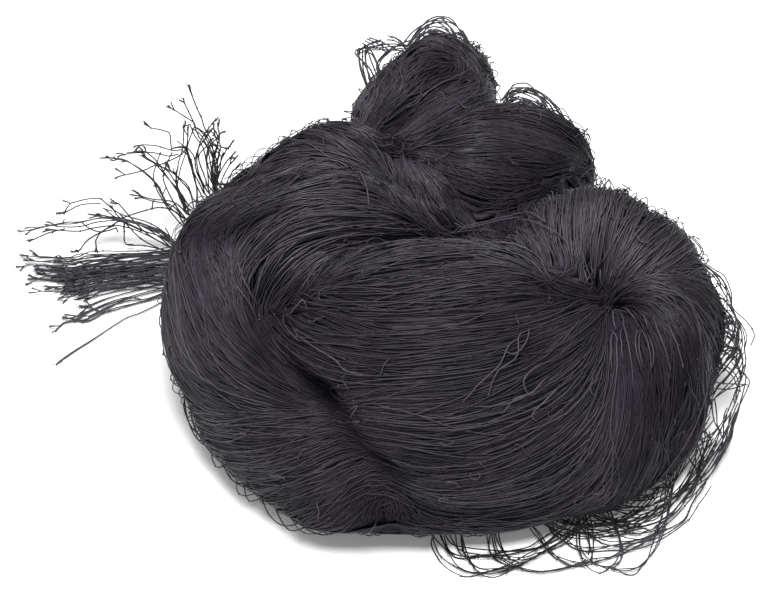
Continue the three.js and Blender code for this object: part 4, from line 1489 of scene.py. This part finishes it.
# Cut meshes that stand up beside the hank, as drawn lines from the hank to a tip.
# Columns: how far back the line lies in millimetres, how many strands go that way, and the line.
SPRAY = (
    (97, 3, ((216, 190), (217, 172), (214, 155), (208, 140), (203, 130), (195, 123))),
    (97, 1, ((195, 123), (185, 116), (174, 109))),
    (98, 1, ((195, 122), (190, 111), (185, 101))),
    (99, 1, ((202, 116), (197, 105), (192, 92))),
    (97, 3, ((213, 188), (211, 168), (207, 148), (199, 137), (194, 124))),
    (96, 3, ((210, 192), (205, 174), (199, 158), (199, 146), (206, 136))),
    (98, 2, ((207, 194), (198, 179), (195, 164), (199, 149), (208, 137))),
    (96, 3, ((216, 188), (213, 167), (216, 152), (218, 144), (215, 135))),
    (97, 1, ((215, 188), (208, 172), (207, 160), (210, 146), (219, 145))),
    (97, 3, ((215, 188), (220, 171), (226, 160), (229, 156))),
    (96, 2, ((219, 187), (224, 173), (230, 162))),
    (97, 1, ((217, 186), (220, 173), (221, 161))),
    (98, 1, ((203, 198), (196, 184), (192, 170), (187, 152), (191, 136), (195, 125))),
    (97, 2, ((205, 196), (201, 184), (196, 172), (194, 158), (186, 148))),
    (97, 2, ((196, 208), (197, 192), (193, 172), (188, 154), (184, 148), (173, 149))),
    (98, 2, ((188, 214), (178, 192), (180, 171), (186, 152), (188, 136))),
    (98, 2, ((186, 216), (174, 200), (165, 182), (164, 170), (172, 150))),
    (97, 2, ((182, 214), (170, 204), (163, 191), (159, 182), (147, 170), (130, 159), (117, 156))),
    (98, 1, ((184, 212), (180, 195), (172, 180), (163, 170), (145, 159), (139, 153), (124, 157))),
    (97, 2, ((188, 206), (180, 194), (168, 180), (156, 166), (146, 160))),
    (98, 1, ((186, 148), (180, 156), (163, 164), (153, 166), (144, 170), (125, 175))),
    (98, 2, ((183, 148), (172, 149), (156, 144), (143, 143))),
    (99, 1, ((172, 148), (171, 138), (169, 129), (151, 125))),
    (97, 2, ((182, 216), (177, 209), (168, 203), (153, 200), (142, 196))),
    (96, 1, ((184, 222), (176, 210), (160, 206), (142, 210), (122, 217))),
    (95, 1, ((186, 214), (184, 200), (177, 190), (176, 176))),
    (97, 2, ((194, 206), (190, 190), (180, 178), (170, 168))),
    (86, 2, ((182, 250), (168, 236), (150, 224), (129, 217), (114, 211), (101, 200))),
    (86, 1, ((101, 200), (81, 202), (65, 210))),
    (87, 1, ((100, 200), (86, 201), (70, 205))),
    (85, 2, ((180, 250), (162, 232), (141, 224), (120, 219), (102, 218), (81, 222), (64, 223), (36, 229))),
    (86, 1, ((66, 223), (50, 227), (35, 234))),
    (86, 2, ((178, 252), (150, 236), (126, 228), (111, 227), (93, 230), (79, 233), (57, 233))),
    (85, 2, ((178, 254), (159, 247), (141, 237), (129, 226), (116, 213))),
    (86, 2, ((180, 252), (162, 240), (143, 232), (124, 223), (104, 217))),
    (85, 1, ((117, 224), (102, 233), (87, 242), (78, 254))),
    (85, 1, ((105, 230), (96, 239), (96, 248))),
    (86, 2, ((176, 250), (155, 232), (137, 222), (122, 219))),
    (84, 1, ((178, 256), (145, 248), (126, 246), (124, 234))),
    (86, 1, ((82, 222), (90, 229), (102, 232), (116, 228))),
)
SPRAY_SCATTER = 4.0  # picture points that strands on one drawn line lie apart
JOINED = 6.0  # picture points from its end within which another line goes on from it
ROOT_EDGE = (174, 180)  # places in the picture right of and below which a line comes out of the hank
ROOT = np.array((-100, 66, 0)) * MM  # where such lines come from, between these heights
ROOT_HEIGHTS = (14 * MM, 42 * MM)
CUT_SHARE = 1.15  # how thick single cut strands are as a share of the other loose twine
CUT_ACROSS = np.array((0.2, 1.0, 0.1))  # a direction that cut strands don't run along
CUT_DEPTHS = 2 * MM  # how far cut strands differ in depth, and below how far one sways
CUT_SWAY = 0.5 * MM
CUT_SPREAD = 16
CUT_TONES = (0.1, 0.4)
CUT_KNOTS = 0.5  # share of bends with a knot, and below its size as a share of the strand's
CUT_KNOT = 1.35
STUBS = 0.1  # share of bends with a short stub, its lengths in millimetres and its tone
STUB_LENGTHS = (3, 7)
STUB_TONE = 0.3

# The short tails that strands end in, and the fibres that these end in.
FRAYED = 2  # how many of each
FRAY_ACROSS = np.array((0.31, 0.9, 0.3))
FRAY_TURN = 0.25
FRAY_LENGTHS = (3.5, 7.5)  # in millimetres
FRAY_BOW = 0.3 * MM
FRAY_WIDTHS = np.array((0.9, 1.0, 1.3, 1.2))
FRAY_TONES = (0.1, 0.5)
FIBRE_TURN = 0.3
FIBRE_LENGTHS = (2, 4)
FIBRE_WIDTH = 0.45
FIBRE_LIGHT = 0.5


def straight(start, way, count):
    """A line of points from start, as far as the vector way goes."""
    return start + np.linspace(0, 1, count)[:, None] * way


def bowed(start, way, bow, count):
    """The same, bowed by the vector bow at its middle."""
    share = np.linspace(0, 1, count)[:, None]
    return straight(start, way, count) + bow * 4 * share * (1 - share)


class BIRDNET_OT_cut_end(bpy.types.Operator):
    """Make the cut end: its brush on the table, and the cut meshes that stand up beside the hank"""

    bl_idname = "birdnet.cut_end"
    bl_label = "Cut end"

    def execute(self, context):
        sizes, colours = context.scene.bird_net_sizes, context.scene.bird_net_colours
        rng = np.random.default_rng(37)
        twine = Twine()
        for _ in range(BRUSH_STRANDS):
            self.brush_strand(twine, sizes.twine_width / 2, sizes.mesh_bar, rng)
        half = CUT_SHARE * sizes.twine_width / 2
        for way in LONE_TAILS:
            line = at_level(drawn(way, TAIL_SPACING), 2, TAIL_HEIGHT)
            thickness = half * np.interp(np.linspace(0, 1, len(line)), *TAIL_WIDTHS)
            twine.strand(line, thickness, UP, TAIL_TONE)
            self.tails(twine, line[-1], unit(line[-1] - line[-2]), half, rng)
        firsts = np.array([way[0] for _, _, way in SPRAY], float)
        for depth, strands, way in SPRAY:
            tipped = nearest(np.array(way[-1:], float), firsts)[1][0] > JOINED
            for copy in range(strands):
                self.cut_mesh(twine, depth * MM, way, half, rng, SPRAY_SCATTER * min(copy, 1), tipped)
        twine.piece("cut_end", twine_material("loose_twine", colours), "loose_twine", "loose_end")
        return {"FINISHED"}

    def brush_strand(self, twine, half, mesh_bar, rng):
        """A strand of the brush with knots along it. Those at the back are longest."""
        out = math.sqrt(rng.random())
        turn = rng.uniform(0, 2 * math.pi)
        end = BRUSH_END + BRUSH_SLANT * out * math.cos(turn) + rng.uniform(-BRUSH_UNEVEN, BRUSH_UNEVEN)
        end = end + BRUSH_LONGEST * rng.random() ** 3
        middles, tangents, sides, ups, halves = sections(BRUSH, np.linspace(0, end, BRUSH_PLACES))
        sways = [sway * wave(rng, BRUSH_PLACES, BRUSH_SPREAD) for sway in BRUSH_SWAYS]
        across = halves[:, 0] * (out * math.cos(turn) + sways[0])
        lift = halves[:, 1] * (out * math.sin(turn) + sways[1])
        line = middles + sides * across[:, None] + ups * lift[:, None]
        twine.strand(line, half, UP, rng.uniform(*BRUSH_TONES))
        twine.bar_knots(line, rng.uniform(*BRUSH_FIRST), mesh_bar, BRUSH_KNOT * half, rng, BRUSH_KNOTS)
        self.tails(twine, line[-1], tangents[-1], half, rng)

    def cut_mesh(self, twine, depth, way, half, rng, scatter, tipped):
        """A strand of the cut meshes, with knots at its bends and two short tails at its tip."""
        way = np.array(way, float)
        drift = np.outer(np.linspace(0, 1, len(way)), rng.normal(0, scatter, 2))
        way += drift + rng.normal(0, 0.6 * scatter, 2)
        line = at_level(drawn(way, DRAWN_SPACING), 1, depth)
        line[:, 1] += rng.normal(0, CUT_DEPTHS) + CUT_SWAY * wave(rng, len(line), CUT_SPREAD)
        twine.strand(line, half, CUT_ACROSS, rng.uniform(*CUT_TONES))
        for spot in np.linspace(0, len(line) - 1, len(way)).astype(int)[1:]:
            if rng.random() < CUT_KNOTS:
                twine.knots(line[spot], CUT_KNOT * half, rng)
            if rng.random() < STUBS:
                stub = unit(rng.normal(0, 1, 3)) * rng.uniform(*STUB_LENGTHS) * MM
                twine.strand(straight(line[spot], stub, 3), half, CUT_ACROSS + 0.1, STUB_TONE)
        if all(np.greater(way[0], ROOT_EDGE)):
            root = ROOT + UP * np.clip(line[0, 2], *ROOT_HEIGHTS) + rng.normal(0, CUT_DEPTHS, 3)
            twine.strand(straight(root, line[0] - root, 6), half, CUT_ACROSS, TAIL_TONE)
        if tipped:
            self.tails(twine, line[-1], unit(line[-1] - line[-2]), half, rng)

    @staticmethod
    def tails(twine, place, way, half, rng):
        """Two short cut tails from a place, each fraying into fibres."""
        for _ in range(FRAYED):
            own_way = unit(way + rng.normal(0, FRAY_TURN, 3))
            length = rng.uniform(*FRAY_LENGTHS) * MM
            line = bowed(place, own_way * length, rng.normal(0, FRAY_BOW, 3), len(FRAY_WIDTHS))
            twine.strand(line, half * FRAY_WIDTHS, FRAY_ACROSS, rng.uniform(*FRAY_TONES))
            for _ in range(FRAYED):
                fibre_way = unit(own_way + rng.normal(0, FIBRE_TURN, 3))
                fibre = straight(line[-2], fibre_way * rng.uniform(*FIBRE_LENGTHS) * MM, 3)
                twine.strand(fibre, FIBRE_WIDTH * half, FRAY_ACROSS, FIBRE_LIGHT)


# Slack net round the hank, as drawn lines.
# HANG tells how high it hangs: points down in the picture, and millimetres.
HANG = ((240, 66), (300, 60), (330, 54), (371, 37), (419, 19), (480, 6), (520, 3), (600, 2))
SLACK_FOOT = (
    ((432, 528), (434, 542), (441, 557), (457, 568), (480, 574),
     (512, 569), (544, 552), (579, 529), (592, 510)),
    ((439, 528), (445, 545), (457, 555), (487, 557), (524, 551), (544, 545), (564, 528), (576, 508)),
    ((447, 528), (455, 545), (463, 552), (482, 555), (519, 560),
     (537, 555), (559, 543), (574, 528), (586, 508)),
    ((461, 528), (463, 547), (470, 562), (481, 573), (495, 574), (512, 568), (519, 565)),
    ((491, 525), (492, 540), (497, 555), (507, 563), (519, 568), (542, 572), (582, 565), (592, 561)),
    ((494, 525), (495, 542), (502, 557), (516, 566)),
    ((522, 508), (528, 525), (537, 537), (549, 551), (562, 558), (579, 563), (592, 562)),
    ((542, 506), (548, 523), (555, 535), (580, 547), (619, 545),
     (654, 540), (683, 522), (693, 502), (706, 482)),
    ((578, 504), (579, 525), (580, 545), (587, 557), (599, 566),
     (609, 569), (619, 562), (621, 547), (618, 530), (610, 508)),
    ((588, 504), (592, 530), (593, 550), (590, 561)),
    ((608, 568), (619, 571), (634, 569), (646, 560), (656, 545), (666, 517), (669, 495), (665, 480)),
    ((592, 562), (609, 558), (626, 552), (644, 543), (656, 533), (666, 520)),
    ((570, 500), (608, 518), (634, 521), (654, 515), (671, 505), (690, 484), (706, 462), (716, 440)),
    ((570, 506), (606, 522), (636, 527), (656, 522), (674, 510),
     (695, 486), (712, 462), (724, 436), (731, 412)),
    ((560, 508), (598, 524), (626, 533), (649, 532), (669, 522), (690, 500), (712, 472), (736, 415)),
    ((580, 494), (612, 510), (639, 515), (656, 509), (674, 497), (690, 478), (702, 458), (710, 436)),
    ((585, 488), (618, 504), (644, 507), (659, 502), (676, 490), (690, 470), (698, 450)),
    ((595, 484), (628, 500), (651, 499), (666, 491), (680, 474), (688, 456), (694, 440)),
    ((545, 508), (576, 526), (604, 540), (626, 541), (649, 538), (666, 530)),
    ((536, 508), (560, 522), (590, 527), (620, 522), (645, 508), (655, 492)),
    ((548, 502), (575, 518), (605, 520), (635, 511), (652, 496)),
    ((528, 510), (555, 527), (585, 532), (612, 530), (640, 521), (660, 508)),
    ((530, 514), (560, 532), (588, 537), (618, 535), (642, 528)),
)
SLACK_SIDE = (
    ((692, 236), (702, 247), (704, 255), (697, 264)),
    ((695, 258), (711, 270), (720, 281), (729, 296), (733, 314)),
    ((700, 262), (711, 270), (722, 279), (730, 296), (732, 311), (742, 324), (747, 337), (744, 350)),
    ((734, 312), (740, 329), (742, 344), (741, 351), (743, 363), (741, 377), (737, 390), (736, 400)),
    ((741, 351), (733, 368), (711, 396), (690, 428), (675, 459), (668, 480), (651, 489)),
    ((740, 351), (729, 363), (718, 377), (705, 394), (697, 403)),
    ((743, 359), (735, 377), (714, 400), (703, 415), (686, 448)),
    ((736, 368), (748, 379), (748, 387), (735, 418), (731, 441), (711, 474), (699, 489), (694, 500)),
    ((747, 384), (738, 387), (725, 389), (708, 386)),
    ((737, 390), (724, 420), (709, 441), (701, 459), (694, 491), (685, 500)),
    ((714, 398), (716, 413), (717, 426), (722, 437)),
    ((738, 403), (724, 433), (705, 463), (698, 478), (686, 487), (673, 498)),
    ((701, 415), (705, 431), (711, 441), (709, 450), (703, 461)),
    ((690, 428), (696, 442), (701, 457), (699, 474)),
    ((683, 450), (690, 461), (698, 474), (701, 483)),
    ((677, 455), (673, 472), (668, 491), (666, 500)),
    ((690, 444), (683, 463), (675, 480), (670, 494)),
    ((705, 415), (696, 431), (685, 442)),
    ((720, 426), (711, 435), (696, 442), (685, 450)),
    ((733, 418), (727, 441), (718, 459), (705, 476), (688, 489), (677, 498)),
    ((712, 321), (722, 322), (733, 324)),
    ((706, 330), (724, 333), (738, 336)),
    ((712, 343), (720, 344), (738, 350)),
    ((714, 350), (722, 350), (738, 351)),
    ((700, 264), (709, 283), (716, 294), (727, 301)),
    ((698, 262), (714, 277), (720, 288), (729, 303)),
    ((703, 270), (707, 285), (712, 296), (722, 308)),
    ((706, 300), (720, 306), (732, 318), (738, 334), (734, 352)),
    ((710, 310), (724, 314), (735, 328), (736, 346), (726, 360)),
    ((712, 304), (726, 318), (730, 334), (738, 346), (730, 362)),
    ((716, 356), (728, 344), (734, 330), (730, 316), (722, 304)),
    ((708, 334), (720, 326), (734, 322), (742, 334), (738, 350), (724, 372)),
    ((712, 372), (722, 358), (732, 350), (741, 352)),
    ((706, 318), (716, 330), (730, 338), (740, 350), (736, 366), (722, 384)),
    ((704, 312), (718, 318), (730, 330), (742, 342)),
    ((708, 324), (722, 340), (734, 356), (740, 372)),
    ((710, 346), (724, 352), (736, 362), (742, 378)),
    ((714, 362), (726, 366), (736, 376), (740, 392)),
    ((716, 300), (722, 318), (724, 336), (718, 356)),
    ((728, 304), (736, 318), (738, 336), (732, 352), (722, 366)),
)
SLACK_FAR = (
    ((373, 86), (368, 71), (362, 61), (357, 53), (364, 48), (377, 46), (392, 44), (412, 46)),
    ((368, 90), (360, 69), (358, 54)),
    ((378, 82), (377, 63), (384, 54), (394, 47), (408, 45)),
    ((370, 82), (366, 60), (368, 50), (379, 45), (385, 43)),
    ((383, 78), (375, 58), (370, 50), (364, 47)),
    ((366, 39), (377, 44), (388, 50)),
    ((390, 38), (398, 39), (406, 47)),
    ((408, 44), (418, 30), (429, 22), (440, 21), (451, 23), (461, 31), (468, 43), (473, 56)),
    ((410, 42), (424, 27), (437, 23), (446, 29), (453, 38)),
    ((414, 44), (425, 32), (437, 33), (444, 40)),
    ((457, 34), (463, 37), (470, 50)),
)
SLACK_RIGHT = (
    ((502, 99), (509, 90), (518, 88), (528, 89), (537, 95), (545, 106)),
    ((510, 94), (524, 88), (535, 90), (544, 95), (552, 102), (562, 117)),
    ((504, 101), (516, 91), (529, 93), (541, 99), (548, 107)),
    ((506, 105), (518, 99), (528, 101), (538, 108)),
    ((508, 110), (518, 103), (529, 104), (542, 112)),
    ((560, 116), (568, 117), (575, 128)),
)

# Columns: the piece, the node that it stands for, its drawn lines, how many copies each has, how thick it is
# as a share of loose twine, and its height in millimetres where HANG doesn't tell it.
SLACK = (
    ("slack_foot", "loose_mesh", SLACK_FOOT, 2, 1.0, None),
    ("slack_side", "loose_mesh", SLACK_SIDE, 1, 1.0, None),
    ("slack_far", "far_loops", SLACK_FAR, 2, 1.3, 62),
    ("slack_right", "right_loops", SLACK_RIGHT, 3, 1.25, 68),
)
SLACK_SEED = 51
SLACK_SCATTER = 4.6  # picture points that copies of a drawn line lie apart, and below that a line sways
SLACK_SWAY = 0.6
SLACK_SHIFT = 0.5
SLACK_SPREADS = (26, 14)  # lengths of swells along the picture and in height
SLACK_LOWEST = 0.5  # in millimetres
SLACK_TONES = (0.05, 0.45)
SLACK_FIRST = (0.1, 1.0)
SLACK_KNOT = 1.45


class BIRDNET_OT_slack_net(bpy.types.Operator):
    """Hang slack net round the hank along drawn lines, with a knot at each corner of its meshes"""

    bl_idname = "birdnet.slack_net"
    bl_label = "Slack net"

    def execute(self, context):
        sizes, colours = context.scene.bird_net_sizes, context.scene.bird_net_colours
        for seed, (name, node, ways, copies, width, height) in enumerate(SLACK):
            half = width * sizes.twine_width / 2
            rng = np.random.default_rng(SLACK_SEED + seed)
            twine = Twine()
            for way in ways:
                for copy in range(1 + copies):
                    self.slack(twine, way, height, copy, half, sizes.mesh_bar, rng)
            twine.piece(name, twine_material("loose_twine", colours), "loose_twine", node)
        return {"FINISHED"}

    @staticmethod
    def slack(twine, way, height, copy, half, mesh_bar, rng):
        """One strand of slack net, and a knot for each bar's length of it."""
        places = drawn(way, DRAWN_SPACING)
        count = len(places)
        scatter = SLACK_SCATTER if copy else SLACK_SWAY
        shift = rng.normal(0, SLACK_SHIFT, 2) if copy else 0
        sway = np.stack([wave(rng, count, SLACK_SPREADS[0]) for _ in range(2)], 1)
        places = places + scatter * (sway + shift)
        level = np.interp(places[:, 1], *np.array(HANG).T) if height is None else height
        level = np.maximum(level + (2 * copy + 1) * wave(rng, count, SLACK_SPREADS[1]), SLACK_LOWEST)
        line = at_level(places, 2, level * MM)
        twine.strand(line, half, SKEW, rng.uniform(*SLACK_TONES))
        twine.bar_knots(line, rng.uniform(*SLACK_FIRST), mesh_bar, SLACK_KNOT * half, rng)


# The stage: a pale floor, and soft light mostly from above and behind.
FLOOR_SIZE = 8.0
FLOOR_GLOW = 0.1
FLOOR_GLOSS = 0.1
FLOOR_ROUGHNESS = 0.9
FLOOR_SPECKLE = 0.98  # how dark the floor's faint specks are
SPECKLE_SCALE = 3
SPECKLE_DETAIL = 2
SKY_STRENGTH = 0.5
# Columns of a light: name, place, size, power, and whether it lights the floor or all but the floor.
SOFT_LIGHTS = (
    ("key_light", (-0.2, 0.06, 1.55), 0.6, 36.0, False),
    ("front_light", (-0.5, -1.3, 0.9), 1.2, 3.5, False),
    ("floor_light", (0.0, -0.48, 1.5), 0.5, 42.0, True),
)


class BIRDNET_OT_stage(bpy.types.Operator):
    """Set the stage: a pale floor, soft light and the camera"""

    bl_idname = "birdnet.stage"
    bl_label = "Stage"

    def execute(self, context):
        scene = context.scene
        bpy.ops.object.select_all(action="DESELECT")
        bpy.ops.mesh.primitive_plane_add(size=FLOOR_SIZE)
        floor = context.active_object
        floor.name = "floor"
        floor.data.materials.append(self.floor_material(scene.bird_net_colours.floor))
        world = bpy.data.worlds.new("soft_sky")
        world.use_nodes = True
        world.node_tree.nodes["Background"].inputs["Color"].default_value = (1, 1, 1, 1)
        world.node_tree.nodes["Background"].inputs["Strength"].default_value = SKY_STRENGTH
        scene.world = world
        scene.view_settings.view_transform = "Standard"
        for name, place, size, power, on_floor in SOFT_LIGHTS:
            light = self.light(scene, name, Vector(place), size, power)
            lit = bpy.data.collections.new(name + "_lit")
            lit.objects.link(floor)
            lit.collection_objects[0].light_linking.link_state = "INCLUDE" if on_floor else "EXCLUDE"
            light.light_linking.receiver_collection = lit
        self.camera(scene)
        return {"FINISHED"}

    @staticmethod
    def floor_material(colour):
        material = bpy.data.materials.new("pale_floor")
        material.use_nodes = True
        tree = material.node_tree
        shader, tint = tree.nodes["Principled BSDF"], tree.nodes.new("ShaderNodeMix")
        shader.inputs["Roughness"].default_value = FLOOR_ROUGHNESS
        shader.inputs["Emission Color"].default_value = (1, 1, 1, 1)
        shader.inputs["Emission Strength"].default_value = FLOOR_GLOW
        shader.inputs["Specular IOR Level"].default_value = FLOOR_GLOSS
        place = tree.nodes.new("ShaderNodeTexCoord").outputs["Object"]
        tint.data_type = "RGBA"
        tint.inputs["A"].default_value = (*colour, 1)
        tint.inputs["B"].default_value = (*(FLOOR_SPECKLE * part for part in colour), 1)
        tree.links.new(speckled(tree, place, SPECKLE_SCALE, SPECKLE_DETAIL), tint.inputs["Factor"])
        tree.links.new(tint.outputs["Result"], shader.inputs["Base Color"])
        return material

    @staticmethod
    def light(scene, name, place, size, power):
        lamp = bpy.data.lights.new(name, "AREA")
        lamp.size = size
        lamp.energy = power
        light = bpy.data.objects.new(name, lamp)
        light.location = place
        light.rotation_euler = (Vector(VIEW_CENTRE) - place).to_track_quat("-Z", "Y").to_euler()
        scene.collection.objects.link(light)
        return light

    @staticmethod
    def camera(scene):
        lens = bpy.data.cameras.new("camera")
        lens.lens = VIEW_LENS
        lens.clip_start = 0.01
        camera = bpy.data.objects.new("camera", lens)
        camera.location = Vector(EYE)
        camera.rotation_euler = Vector(-VIEW_BACK).to_track_quat("-Z", "Y").to_euler()
        scene.collection.objects.link(camera)
        scene.camera = camera


OPERATORS = (
    BIRDNET_OT_wound_body,
    BIRDNET_OT_turns,
    BIRDNET_OT_strays,
    BIRDNET_OT_cut_end,
    BIRDNET_OT_slack_net,
    BIRDNET_OT_stage,
)


class BIRDNET_PT_panel(bpy.types.Panel):
    """Lists the net's pieces, sizes and colours"""

    bl_idname = "BIRDNET_PT_panel"
    bl_label = "Bird net"
    bl_space_type = "VIEW_3D"
    bl_region_type = "UI"
    bl_category = "Bird net"

    def draw(self, context):
        for group in (context.scene.bird_net_sizes, context.scene.bird_net_colours):
            for name in group.__annotations__:
                self.layout.prop(group, name)
        for operator in OPERATORS:
            self.layout.operator(operator.bl_idname)


CLASSES = (NetSizes, NetColours, *OPERATORS, BIRDNET_PT_panel)


def register():
    for each in CLASSES:
        bpy.utils.register_class(each)
    bpy.types.Scene.bird_net_sizes = bpy.props.PointerProperty(type=NetSizes)
    bpy.types.Scene.bird_net_colours = bpy.props.PointerProperty(type=NetColours)


def unregister():
    del bpy.types.Scene.bird_net_colours
    del bpy.types.Scene.bird_net_sizes
    for each in reversed(CLASSES):
        bpy.utils.unregister_class(each)


def main():
    register()
    bpy.ops.birdnet.wound_body()
    bpy.ops.birdnet.turns()
    bpy.ops.birdnet.strays()
    bpy.ops.birdnet.cut_end()
    bpy.ops.birdnet.slack_net()
    bpy.ops.birdnet.stage()


if __name__ == "__main__":
    main()
